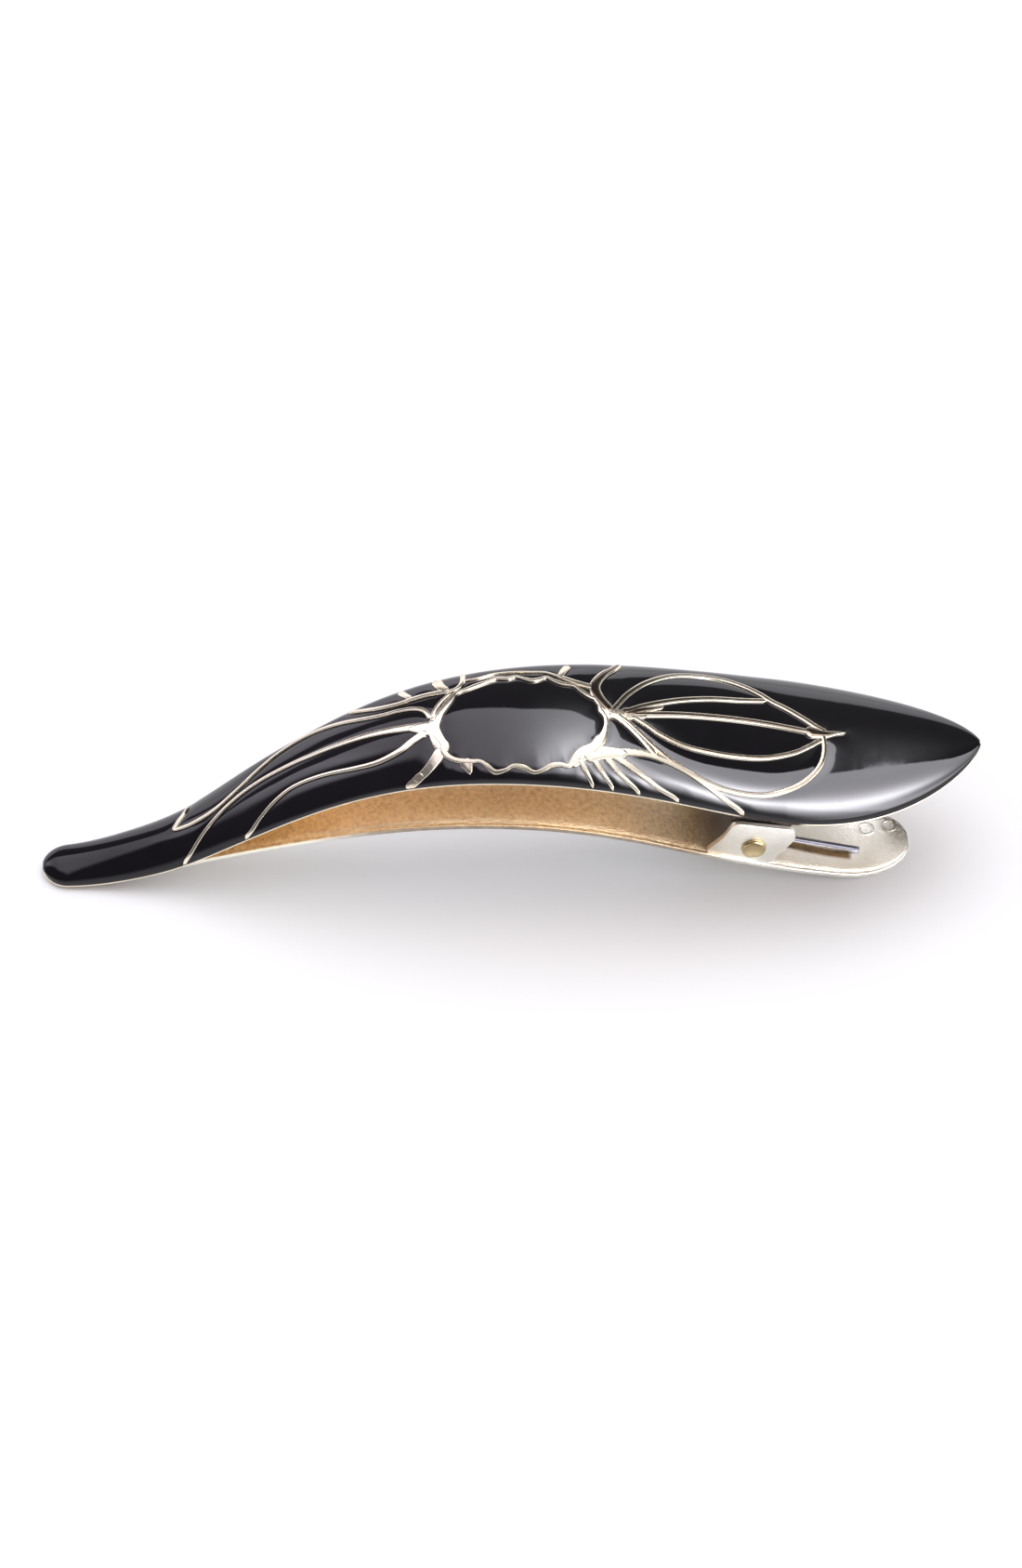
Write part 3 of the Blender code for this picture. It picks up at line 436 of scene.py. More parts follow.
def gold_mat(name, base, tint, rough_lo, rough_hi, grain, grain_strength, dark=None, lobes=()):
    m, nt, b = new_material(name)
    co = object_coord(nt)
    b.inputs["Metallic"].default_value = 1.0
    col = ramp(nt, noise(nt, co, 350, 4), [(0.3, tint), (0.68, base)])
    if lobes:
        col = lamp_facing_shade(nt, col, lobes)
    if dark:
        # the turned edge is left dark where the bracket is soldered under it
        sepd = node(nt, "ShaderNodeSeparateXYZ")
        nt.links.new(co, sepd.inputs[0])
        m1 = map_range(nt, sepd.outputs[0], (dark[0] - 0.5 - LENGTH / 2) * MM, (dark[0] + 0.4 - LENGTH / 2) * MM, 0.0, 1.0)
        m2 = map_range(nt, sepd.outputs[0], (dark[1] - 0.5 - LENGTH / 2) * MM, (dark[1] + 0.5 - LENGTH / 2) * MM, 1.0, 0.0)
        m3 = node(nt, "ShaderNodeMath", operation="MULTIPLY")
        nt.links.new(m1, m3.inputs[0])
        nt.links.new(m2, m3.inputs[1])
        mixd = node(nt, "ShaderNodeMix", data_type="RGBA")
        nt.links.new(m3.outputs[0], mixd.inputs["Factor"])
        nt.links.new(col, [i for i in mixd.inputs if i.name == "A" and i.type == "RGBA"][0])
        nt.links.new(ramp(nt, noise(nt, co, 1200, 4), [(0.4, (0.035, 0.024, 0.022)), (0.7, (0.16, 0.115, 0.08))]),
                     [i for i in mixd.inputs if i.name == "B" and i.type == "RGBA"][0])
        col = [o for o in mixd.outputs if o.type == "RGBA"][0]
    nt.links.new(col, b.inputs["Base Color"])
    nt.links.new(map_range(nt, noise(nt, co, 1400, 3), 0.3, 0.72, rough_lo, rough_hi), b.inputs["Roughness"])
    n1 = bump(nt, noise(nt, co, 300, 2), 0.12, 0.00008)
    n2 = bump(nt, noise(nt, co, grain, 3, 0.7), grain_strength, 0.00003, n1)
    nt.links.new(n2, b.inputs["Normal"])
    return m


ENAMEL = enamel_mat()
# polished gilt, painted darker where it faces the brightest lamps
GILT = gold_mat("polished_gilt", (0.94, 0.88, 0.72), (0.89, 0.80, 0.60), 0.11, 0.20, 3000, 0.3, lobes=LOBES)
GILT_EDGE = gold_mat("turned_edge_gilt", (0.94, 0.88, 0.72), (0.89, 0.80, 0.60), 0.11, 0.20, 3000, 0.3, (98.4, 107.3), LOBES)
# near-black gilt for the flat middles of the relief lines: a painted dark reflection
GILT_PAINTED_DARK = gold_mat("gilt_painted_dark_middle", (0.20, 0.16, 0.115), (0.12, 0.095, 0.075), 0.08, 0.14, 3000, 0.2)
RIVET = gold_mat("rivet_gilt", (0.64, 0.52, 0.29), (0.36, 0.28, 0.14), 0.10, 0.18, 2600, 0.35)
GILT_IN = gold_mat("inner_gilt", (0.93, 0.76, 0.50), (0.88, 0.68, 0.42), 0.28, 0.42, 3600, 0.8)


def satin_leaf_mat():
    """fine blasted gilt with a stamped rim line and two plain round punch marks on the tail plate"""
    m, nt, b = new_material("satin_gilt_leaf")
    co = object_coord(nt)
    b.inputs["Metallic"].default_value = 1.0
    pale = ramp(nt, noise(nt, co, 500, 5, 0.65), [(0.3, (0.92, 0.905, 0.81)), (0.5, (0.96, 0.95, 0.865)), (0.72, (0.985, 0.98, 0.91))])
    warm = ramp(nt, noise(nt, co, 1500, 4, 0.7), [(0.3, (0.62, 0.44, 0.25)), (0.5, (0.86, 0.645, 0.385)), (0.72, (1.0, 0.82, 0.54))])
    # the leaf's upward face along the beak, under the shell, is painted a darker, warmer gilt than the ears, tail
    # plate and sides: painted shade and reflection of the shell's gilt underside
    sepc = node(nt, "ShaderNodeSeparateXYZ")
    nt.links.new(co, sepc.inputs[0])
    place = map_range(nt, sepc.outputs[0], (93.0 - LENGTH / 2) * MM, (98.0 - LENGTH / 2) * MM, 0.0, 1.0)
    tcn = node(nt, "ShaderNodeTexCoord")
    sepn = node(nt, "ShaderNodeSeparateXYZ")
    nt.links.new(tcn.outputs["Normal"], sepn.inputs[0])
    under = map_range(nt, sepn.outputs[2], 0.1, 0.5, 1.0, 0.0)
    either = node(nt, "ShaderNodeMath", operation="MAXIMUM")
    nt.links.new(place, either.inputs[0])
    nt.links.new(under, either.inputs[1])
    place = either.outputs[0]
    mixc = node(nt, "ShaderNodeMix", data_type="RGBA")
    nt.links.new(place, mixc.inputs["Factor"])
    nt.links.new(warm, [i for i in mixc.inputs if i.name == "A" and i.type == "RGBA"][0])
    nt.links.new(pale, [i for i in mixc.inputs if i.name == "B" and i.type == "RGBA"][0])
    colour = [o for o in mixc.outputs if o.type == "RGBA"][0]

    def shade(col_, mask, tone, amount):
        mx = node(nt, "ShaderNodeMix", data_type="RGBA")
        am = node(nt, "ShaderNodeMath", operation="MULTIPLY")
        nt.links.new(mask, am.inputs[0])
        am.inputs[1].default_value = amount
        nt.links.new(am.outputs[0], mx.inputs["Factor"])
        nt.links.new(col_, [i for i in mx.inputs if i.name == "A" and i.type == "RGBA"][0])
        nt.links.new(tone, [i for i in mx.inputs if i.name == "B" and i.type == "RGBA"][0])
        return [o for o in mx.outputs if o.type == "RGBA"][0]

    def both(*masks):
        out_ = masks[0]
        for k_ in masks[1:]:
            q = node(nt, "ShaderNodeMath", operation="MULTIPLY")
            nt.links.new(out_, q.inputs[0])
            nt.links.new(k_, q.inputs[1])
            out_ = q.outputs[0]
        return out_

    def lin(ax, ay, c_):
        """ax*X + ay*Y + c in millimetres from the beak's tip"""
        d = node(nt, "ShaderNodeVectorMath", operation="DOT_PRODUCT")
        nt.links.new(co, d.inputs[0])
        d.inputs[1].default_value = (ax / MM, ay / MM, 0)
        a = node(nt, "ShaderNodeMath", operation="ADD")
        nt.links.new(d.outputs["Value"], a.inputs[0])
        a.inputs[1].default_value = c_ + ax * LENGTH / 2
        return a.outputs[0]

    def smooth(v_, lo, hi, a=0.0, b_=1.0):
        return map_range(nt, v_, lo, hi, a, b_)

    upward = smooth(sepn.outputs[2], 0.7, 0.9)
    # painted shadow and reflection of the spring's leg: a darker brown strip on the tail plate under the leg
    leg_shadow = both(upward, smooth(lin(1, 0, 0), 103.2, 106.0), smooth(lin(1, 0, 0), 115.5, 116.1, 1.0, 0.0),
               smooth(lin(0.05, 1, -3.7), -0.1, 0.15, 1.0, 0.0), smooth(lin(0.05, 1, -3.7), -1.6, -1.1))
    colour = shade(colour, leg_shadow, ramp(nt, noise(nt, co, 900, 4), [(0.3, (0.16, 0.09, 0.03)), (0.7, (0.40, 0.25, 0.095))]), 0.95)
    # painted shade: the tail plate is made darker toward its end and its far side
    tail_end = both(upward, smooth(lin(1, 0, 0), 116.5, 122.5), smooth(lin(0, 1, 0), -4.5, 0.0))
    colour = shade(colour, tail_end, ramp(nt, noise(nt, co, 1300, 4, 0.7), [(0.3, (0.30, 0.285, 0.23)), (0.7, (0.52, 0.50, 0.42))]), 0.9)
    # the plate's far corner is painted near-black, a painted reflection of the shell's black enamel above it, broken
    # up by a speckled grain
    speck = smooth(noise(nt, co, 2400, 3, 0.7), 0.36, 0.62, 1.0, 0.45)
    corner = both(upward, smooth(lin(1, 0.3, -122.6), -1.6, 0.9), smooth(lin(0, 1, 0), -2.6, 0.6), speck)
    colour = shade(colour, corner, ramp(nt, noise(nt, co, 700, 3), [(0.3, (0.05, 0.045, 0.032)), (0.7, (0.17, 0.155, 0.12))]), 0.95)
    # faces turned toward the near side are painted a darker brown from about 40 to 95 mm along the leaf, a painted
    # reflection of the shaded floor in front
    front = map_range(nt, sepn.outputs[1], -0.15, -0.42, 0.0, 1.0)
    warm_only = both(smooth(lin(1, 0, 0), 92.0, 97.0, 1.0, 0.0), smooth(lin(1, 0, 0), 38.0, 48.0))
    colour = shade(colour, both(front, warm_only), ramp(nt, noise(nt, co, 800, 3), [(0.3, (0.22, 0.145, 0.075)), (0.7, (0.38, 0.27, 0.145))]), 0.8)
    # painted light and shade along the strip: the colour is made lighter and darker in turn by position
    tone = ramp(nt, smooth(lin(1, 0, 0), 0.0, 133.3), [(0.10, (0.80, 0.80, 0.80)), (0.22, (1.0, 0.98, 0.90)), (0.28, (1.0, 0.98, 0.90)), (0.34, (1.0, 1.0, 1.05)),
                                                      (0.50, (0.80, 0.81, 0.84)), (0.60, (0.96, 0.98, 1.04)), (0.67, (1.0, 1.04, 1.12)), (0.72, (0.78, 0.74, 0.70)), (0.76, (1.0, 1.0, 1.0))])
    mul = node(nt, "ShaderNodeVectorMath", operation="MULTIPLY")
    nt.links.new(colour, mul.inputs[0])
    nt.links.new(tone, mul.inputs[1])
    nt.links.new(mul.outputs["Vector"], b.inputs["Base Color"])
    nt.links.new(map_range(nt, noise(nt, co, 2600, 3), 0.3, 0.7, 0.32, 0.5), b.inputs["Roughness"])
    n1 = bump(nt, noise(nt, co, 3600, 2, 0.6), 1.0, 0.00009)
    n2 = bump(nt, noise(nt, co, 700, 3, 0.5), 0.25, 0.00006, n1)
    sep = node(nt, "ShaderNodeSeparateXYZ")
    nt.links.new(co, sep.inputs[0])
    last = n2
    for cx, cy, rad in ((118.5, 2.2, 1.25), (121.9, 2.7, 1.2)):
        comb = node(nt, "ShaderNodeCombineXYZ")
        nt.links.new(sep.outputs[0], comb.inputs[0])
        nt.links.new(sep.outputs[1], comb.inputs[1])
        dist = node(nt, "ShaderNodeVectorMath", operation="DISTANCE")
        nt.links.new(comb.outputs[0], dist.inputs[0])
        dist.inputs[1].default_value = ((cx - LENGTH / 2) * MM, cy * MM, 0)
        ring = node(nt, "ShaderNodeMath", operation="SUBTRACT")
        nt.links.new(dist.outputs["Value"], ring.inputs[0])
        ring.inputs[1].default_value = rad * MM * 0.8
        ab = node(nt, "ShaderNodeMath", operation="ABSOLUTE")
        nt.links.new(ring.outputs[0], ab.inputs[0])
        last = bump(nt, map_range(nt, ab.outputs[0], 0.0, 0.00028, 1.0, 0.0), 1.0, 0.00012, last)
    nt.links.new(last, b.inputs["Normal"])
    return m


LEAF_MAT = satin_leaf_mat()


def dark_mat():
    m, nt, b = new_material("dark_plate")
    co = object_coord(nt)
    b.inputs["Metallic"].default_value = 0.9
    nt.links.new(ramp(nt, noise(nt, co, 700, 5, 0.7), [(0.35, (0.075, 0.068, 0.066)), (0.65, (0.17, 0.155, 0.15))]), b.inputs["Base Color"])
    nt.links.new(map_range(nt, noise(nt, co, 1500, 4), 0.3, 0.7, 0.3, 0.5), b.inputs["Roughness"])
    nt.links.new(bump(nt, noise(nt, co, 2500, 4, 0.7), 0.7, 0.00008), b.inputs["Normal"])
    return m


def steel_mat():
    m, nt, b = new_material("spring_wire_steel")
    co = object_coord(nt)
    b.inputs["Metallic"].default_value = 1.0
    col = ramp(nt, noise(nt, co, 900, 4), [(0.3, (0.17, 0.17, 0.20)), (0.7, (0.25, 0.245, 0.285))])
    # the wire's colour is painted darker where it faces the brightest lamps
    nt.links.new(lamp_facing_shade(nt, col, LOBES), b.inputs["Base Color"])
    nt.links.new(map_range(nt, noise(nt, co, 3000, 3), 0.3, 0.7, 0.14, 0.26), b.inputs["Roughness"])
    nt.links.new(bump(nt, noise(nt, co, 2200, 2), 0.15, 0.00003), b.inputs["Normal"])
    return m


DARK, STEEL = dark_mat(), steel_mat()

# ------------------------------------------------------------------ relief lines
BANDS = []
TWIN = ("bud_hi", "petal_hi", "vein", "petal_lo", "bud_lo", "spike", "fork", "bud_node")
for key, (ctrl, w0, w1) in STROKES.items():
    path = curve_through(ctrl, 0.22)
    t = np.linspace(0, 1, len(path))
    heavy = key in ("leaf_b", "leaf_c", "leaf_a", "sprig_join")
    wid = w0 + (w1 - w0) * (t ** 3.5 if heavy else t ** 0.75 if key == "spike" else t)
    run = np.concatenate([[0], np.cumsum(np.linalg.norm(np.diff(path, axis=0), axis=1))])
    near_end = np.minimum(run, run[-1] - run)
    r_end = np.maximum(0.25, wid / 2)
    wid = wid * np.sqrt(np.clip(1 - (1 - np.clip(near_end / r_end, 0.03, 1)) ** 2, 0.05, 1))
    BANDS.append((key, path, wid, False))
path = curve_through(MEDALLION, 0.30, True)
s = np.arange(len(path)) / len(path)
# the ring is heavier at its left and at its lower right, where the branches leave it
ring_w = 0.62 + 1.0 * np.exp(-((path[:, 0] - 78) / 3.0) ** 2 - ((path[:, 1] + 6.5) / 3.0) ** 2) + 0.45 * np.exp(-((path[:, 0] - 57) / 2.0) ** 2)
ring_w += 0.10 * np.sin(s * 2 * math.pi * 15)
BANDS.append(("medallion", path, ring_w, True))


def band_mesh(path, width, top, closed, rim=0.10):
    n = len(path)
    if closed:
        tang = np.roll(path, -1, 0) - np.roll(path, 1, 0)
    else:
        tang = np.gradient(path, axis=0)
    lim = half_w(path[:, 0]) * 0.9996
    y = np.clip(path[:, 1], -lim, lim)
    phi = phi_of(path[:, 0], y)
    p = shell_point(path[:, 0], phi)
    nrm = shell_normal(path[:, 0], phi)
    t3 = np.roll(p, -1, 0) - np.roll(p, 1, 0) if closed else np.gradient(p, axis=0)
    t3 /= np.linalg.norm(t3, axis=1, keepdims=True)
    side = np.cross(nrm, t3)
    side /= np.linalg.norm(side, axis=1, keepdims=True)
    hw = width[:, None] / 2
    soft = np.minimum(rim, hw * 0.42)
    prof = [(0.0, 0.0), (0.0, 0.62), (-0.25, 0.84), (-0.65, 0.965), (-1.2, 1.0)]
    cols = []
    for sgn in (1, -1):
        seq = prof if sgn == 1 else prof[::-1]
        for k, f in seq:
            off = sgn * np.maximum(0.02, hw + soft * k)
            q = p + side * off
            # drop back onto the shell so a wide band follows its curvature
            lq = half_w(q[:, 0]) * 0.9996
            yq = np.clip(q[:, 1], -lq, lq)
            ph = phi_of(q[:, 0], yq)
            base = shell_point(q[:, 0], ph)
            nn = shell_normal(q[:, 0], ph)
            hh = 0.02 + f * (enamel_h(ph) + top - 0.02)
            cols.append(row(base + nn * hh[:, None]))
        if sgn == 1:
            nn = shell_normal(p[:, 0], phi)
            cols.append(row(shell_point(p[:, 0], phi) + nn * (enamel_h(phi) + top * 1.0)[:, None]))
    # underside
    rings = np.stack(cols, 1)
    return loft(rings, closed)


# ------------------------------------------------------------------ upper shell metal
xs = np.concatenate([np.linspace(0.03, 1.2, 14)[:-1], np.linspace(1.2, 4, 12)[:-1], np.linspace(4, 126, 190), np.linspace(126, LENGTH - 0.06, 30)[1:]])


def plan_normal(x, side_sign):
    n = shell_normal(x, 1.45 * side_sign)
    n = np.array([n[..., 0], n[..., 1], 0 * n[..., 1]]).T
    return n / np.linalg.norm(n, axis=-1, keepdims=True)


def shell_ring(x):
    w, z = float(half_w(x)), float(edge_z(x))
    phis = np.concatenate([[-1.5705], np.linspace(-1.50, 1.50, 31), [1.5705]])
    outer = shell_point(x, phis) + shell_normal(x, phis) * 0.03
    wi = max(w - SHELL_T - 0.05, 0.35 * w)
    inner_phi = np.linspace(1.50, -1.50, 31)
    c = np.maximum(0, np.cos(inner_phi)) ** (2 * SECTION_Q)
    inner_c = max(0.1, float(crown_h(x)) + EDGE_H - SHELL_T)
    inner = np.stack([np.full(31, x), wi * np.sin(inner_phi), z + 0.02 + inner_c * c], -1)
    # the plain turned edge below the enamel, a quarter of a millimetre tall
    lip = [(0.03, 0.34), (0.10, 0.27), (0.14, 0.20), (0.145, 0.12), (0.12, 0.05), (0.04, 0.0), (-0.10, -0.01)]
    walls = []
    for sg in (1, -1):
        nrm = plan_normal(x, sg)
        base = np.array([x, sg * w, z])
        walls.append(np.array([base + nrm * o + np.array([0, 0, h]) for o, h in lip]))
    return np.concatenate([outer, walls[0], inner, walls[1][::-1]])


rings = np.array([row(shell_ring(float(x))) for x in xs])
rv, rf = loft(rings)
n_ring = rings.shape[1]
fm = []
for f in rf:
    j = [i % n_ring for i in f]
    fm.append(1 if (min(j) >= 39 and max(j) <= 71) else 0)
shell = mesh_object("shell_metal", rv, rf, True, (GILT_EDGE, GILT_IN), fm)
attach(shell, "shell")
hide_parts("upper_shell")

parts = []
for i, (key, path, width, closed) in enumerate(BANDS):
    add(parts, band_mesh(path, width, 0.135 + 0.0022 * (i % 9), closed, 0.2 if key in TWIN else 0.10))
rv, rf = merged(parts)
relief = mesh_object("shell_relief_lines", rv, rf, True, (GILT,))
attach(relief, "shell")

# the flat middles of the bud's lines are painted dark between their bright rounded rims, a painted reflection of the
# dark room above
parts = []
for i, (key, path, width, closed) in enumerate(BANDS):
    if key not in TWIN:
        continue
    inner_w = width - 0.52
    keep = np.where(inner_w > 0.10)[0]
    if len(keep) < 8:
        continue
    a_, b_ = keep[0], keep[-1] + 1
    add(parts, band_mesh(path[a_:b_], np.maximum(inner_w[a_:b_], 0.05), 0.145 + 0.0022 * (i % 9), False, 0.03))
rv, rf = merged(parts)
relief_mid = mesh_object("shell_relief_middles", rv, rf, True, (GILT_PAINTED_DARK,))
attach(relief_mid, "shell")

# ------------------------------------------------------------------ enamel
ex = np.concatenate([np.linspace(0.02, 1.0, 16)[:-1], np.linspace(1.0, 6, 26)[:-1], np.linspace(6, 124, 430), np.linspace(124, LENGTH - 0.05, 60)[1:]])
ep = np.concatenate([[-1.5705, -1.545], np.linspace(-1.51, 1.51, 118), [1.545, 1.5705]])
gx, gp = np.meshgrid(ex, ep, indexing="ij")
pts = shell_point(gx, gp)
nrm = shell_normal(gx, gp)
# each field is a shallow pillow, lower where it meets the metal
flat = pts.reshape(-1, 3)
dist = np.full(len(flat), 9.0)
for key, path, width, closed in BANDS:
    lim = half_w(path[:, 0]) * 0.985
    bp = shell_point(path[:, 0], phi_of(path[:, 0], np.clip(path[:, 1], -lim, lim)))
    lo, hi = bp.min(0) - 4, bp.max(0) + 4
    sel = np.where(np.all((flat > lo) & (flat < hi), axis=1))[0]
    if not len(sel):
        continue
    d = np.linalg.norm(flat[sel, None, :] - bp[None, ::2, :], axis=2) - width[None, ::2] / 2
    dist[sel] = np.minimum(dist[sel], d.min(1))
sink = (0.13 * np.exp(-np.maximum(dist, 0) / 1.0)).reshape(gx.shape)
h = enamel_h(gp) * (1 - sink / ENAMEL_H)
top = pts + nrm * h[..., None]
rings = []
for i, x in enumerate(ex):
    w, z = float(half_w(x)), float(edge_z(x))
    walls = []
    for sg in (1, -1):
        pn = plan_normal(x, sg)
        base = np.array([x, sg * w, z])
        walls.append(np.array([base + pn * o + np.array([0, 0, hz]) for o, hz in ((0.105, 0.40), (0.11, 0.34), (0.09, 0.30), (0.0, 0.29))]))
    low_phi = np.linspace(1.5, -1.5, 41)
    low = shell_point(x, low_phi) + shell_normal(x, low_phi) * 0.0
    rings.append(row(np.concatenate([top[i], walls[0], low, walls[1][::-1]])))
verts, faces = loft(np.array(rings))
enamel = mesh_object("enamel_fields", verts, faces, True, (ENAMEL,))
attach(enamel, "shell")
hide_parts(*ENAMEL_NODES)

# ------------------------------------------------------------------ lower leaf
lx = np.concatenate([np.linspace(0.32, 5, 22)[:-1], np.linspace(5, 112, 150)[:-1], np.linspace(112, LEAF_LEN - 0.12, 60)])


def leaf_ring(x):
    w, z, arch = float(leaf_w(x)), float(leaf_z(x)), float(leaf_arch(x))
    t = LEAF_T if x > 10 else 0.5 + 0.25 * max(0.0, (x - 4)) / 6.0
    e = 0.08
    v = np.concatenate([[-1.0], np.linspace(-0.955, 0.955, 17), [1.0]])
    lip = np.minimum(0.5, 0.3 * w)
    inner = max(w - e - lip, 0.1 * w)
    yy = np.concatenate([[-(w - e), -(w - e - 0.22 * lip / 0.5), -(inner + 0.12 * lip / 0.5)], np.linspace(-inner, inner, 15),
                         [inner + 0.12 * lip / 0.5, w - e - 0.22 * lip / 0.5, w - e]])
    dip = np.zeros(21)
    dip[[2, 18]] = -0.08
    nn = 21
    up = np.stack([np.full(nn, x), yy, z + t + arch * (1 - (yy / w) ** 2) + dip], -1)
    dn = np.stack([np.full(nn, x), yy, z + arch * (1 - (yy / w) ** 2)], -1)[::-1]
    r = np.array([[x, w - 0.02, z + t - 0.02], [x, w, z + t - 0.09], [x, w, z + 0.09], [x, w - 0.02, z + 0.02]])
    l = r[::-1] * np.array([1, -1, 1])
    return np.concatenate([up, r, dn, l])


parts = []
add(parts, loft(np.array([row(leaf_ring(float(x))) for x in lx])))
for sg in (-1, 1):
    foot = [(104.2, float(leaf_z(104.2)) + 0.35), (101.0, float(leaf_z(101.0)) + 0.35), (97.5, float(leaf_z(97.5)) + 0.35), (94.3, float(leaf_z(94.3)) + 0.35)]
    out = round_outline(EAR_OUTLINE, 0.9)
    outline = np.concatenate([out, np.array(foot)])
    add(parts, bevelled_plate(outline, sg * EAR_IN, sg * (EAR_OUT + 0.05), 0.14))
    # the bend at the ear's foot: a fillet inside the corner
    fx = np.linspace(95.2, 103.8, 14)
    rings = []
    for x in fx:
        zb = float(leaf_z(x)) + LEAF_T - 0.05
        pr = [(EAR_IN + 0.1, zb + 0.95)]
        for k in range(6):
            a = math.pi / 2 * k / 5
            pr.append((EAR_IN - 0.9 * (1 - math.cos(a)), zb + 0.95 - 0.9 * math.sin(a)))
        pr.append((EAR_IN + 0.1, zb - 0.1))
        rings.append(row([(x, sg * y, z) for y, z in pr]))
    add(parts, loft(np.array(rings)))
rv, rf = merged(parts)
leaf = mesh_object("leaf_body", rv, rf, True, (LEAF_MAT,))
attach(leaf, "leaf")
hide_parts("lower_leaf")

# ------------------------------------------------------------------ pivot rivet
prof = [(0.02, -7.12), (0.35, -7.125), (0.7, -7.16), (1.0, -7.23), (1.22, -7.33), (1.36, -7.41), (1.47, -7.44), (1.58, -7.41),
        (1.68, -7.32), (1.75, -7.16), (1.78, -6.98), (1.76, -6.88), (0.95, -6.87)]
prof += [(r, -y) for r, y in reversed(prof)]
ang = np.linspace(0, 2 * math.pi, 49)[:-1]
rings = [row(np.stack([PIN_X + r * np.cos(ang), np.full(48, y), PIN_Z + r * np.sin(ang)], -1)) for r, y in prof]
rv, rf = loft(np.array(rings))
rivet = mesh_object("rivet", rv, rf, True, (RIVET,))
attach(rivet, "leaf")
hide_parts("pivot_pin")

# ------------------------------------------------------------------ hinge bracket
parts = []
rings = []
for x in np.linspace(97.4, 110.2, 20):
    y = np.linspace(-LUG_OUT, LUG_OUT, 25)
    up = np.stack([np.full(25, x), y, inner_z(x, y) - 0.14], -1)
    dn = np.stack([np.full(25, x), y, inner_z(x, y) - 0.94], -1)[::-1]
    rings.append(row(np.concatenate([up, dn])))
add(parts, loft(np.array(rings), strip_caps=True))
for sg in (-1, 1):
    outline = [(x, z if z < 21 else float(inner_z(x, LUG_OUT)) - 0.4) for x, z in LUG_OUTLINE]
    add(parts, bevelled_plate(round_outline(outline, 0.6), sg * LUG_IN, sg * (LUG_OUT - 0.01), 0.1))
rv, rf = merged(parts)
bracket = mesh_object("bracket_saddle", rv, rf, True, (DARK,))
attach(bracket, "shell")
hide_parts("hinge_bracket")

# ------------------------------------------------------------------ return spring
LOW_TIP = (117.0, COIL_Y0, LEAF_T + WIRE_R + 0.06)
dx, dz = PIN_X - LOW_TIP[0], PIN_Z - LOW_TIP[2]
far = math.hypot(dx, dz)
leg = math.sqrt(far ** 2 - COIL_R ** 2)
heading = math.atan2(dz, dx) + math.asin(COIL_R / far)
t_low = (LOW_TIP[0] + leg * math.cos(heading), LOW_TIP[2] + leg * math.sin(heading))
start = math.atan2(t_low[1] - PIN_Z, t_low[0] - PIN_X)
HIGH_X, HIGH_Y = 112.0, COIL_Y0 + COIL_PITCH * (COIL_TURNS + 0.55)
high = (HIGH_X, float(inner_z(HIGH_X, HIGH_Y)) - WIRE_R - 0.2)
hd = math.hypot(high[0] - PIN_X, high[1] - PIN_Z)
end = math.atan2(high[1] - PIN_Z, high[0] - PIN_X) + math.acos(COIL_R / hd)
sweep = start - end
while sweep < 2 * math.pi * COIL_TURNS:
    sweep += 2 * math.pi
line = [(LOW_TIP[0] * (1 - k / 24) + t_low[0] * k / 24, COIL_Y0, LOW_TIP[2] * (1 - k / 24) + t_low[1] * k / 24) for k in range(24)]
steps = 150
for k in range(steps + 1):
    a = start - sweep * k / steps
    line.append((PIN_X + COIL_R * math.cos(a), COIL_Y0 + (HIGH_Y - COIL_Y0) * k / steps, PIN_Z + COIL_R * math.sin(a)))
a = start - sweep
t_high = (PIN_X + COIL_R * math.cos(a), PIN_Z + COIL_R * math.sin(a))
line += [(t_high[0] * (1 - k / 30) + high[0] * k / 30, HIGH_Y, t_high[1] * (1 - k / 30) + high[1] * k / 30) for k in range(1, 31)]
line = np.array(line)
tan = np.gradient(line, axis=0)
tan /= np.linalg.norm(tan, axis=1, keepdims=True)
ref = np.array([0, 1, 0.0])
side = ref - tan * (tan @ ref)[:, None]
side /= np.linalg.norm(side, axis=1, keepdims=True)
upv = np.cross(tan, side)
K = 16
ang = np.arange(K) * 2 * math.pi / K
rings = []
first, last = line[0] - tan[0] * 0.02, line[-1] + tan[-1] * 0.02
seq = [(first, side[0], upv[0], 0.86)] + [(p, s_, u_, 1.0) for p, s_, u_ in zip(line, side, upv)] + [(last, side[-1], upv[-1], 0.86)]
for p, s_, u_, f in seq:
    rings.append(row(p + (np.cos(ang)[:, None] * s_ + np.sin(ang)[:, None] * u_) * WIRE_R * f))
rv, rf = loft(np.array(rings))
spring = mesh_object("torsion_spring", rv, rf, True, (STEEL,))
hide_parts("return_spring")
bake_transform(spring)

# ------------------------------------------------------------------ floor
fl = bpy.data.meshes.new("floor")
S = 3.0
fl.from_pydata([(-S, -S, -0.00005), (S, -S, -0.00005), (S, S, -0.00005), (-S, S, -0.00005)], [], [(0, 1, 2, 3)])
floor = bpy.data.objects.new("floor", fl)
bpy.context.scene.collection.objects.link(floor)
fm_, nt, b = new_material("pale_floor")
nt.links.new(ramp(nt, noise(nt, object_coord(nt), 6, 3), [(0.3, (0.90, 0.895, 0.90)), (0.7, (0.92, 0.915, 0.92))]), b.inputs["Base Color"])
b.inputs["Roughness"].default_value = 0.9
b.inputs["Specular IOR Level"].default_value = 0.0
fl.materials.append(fm_)

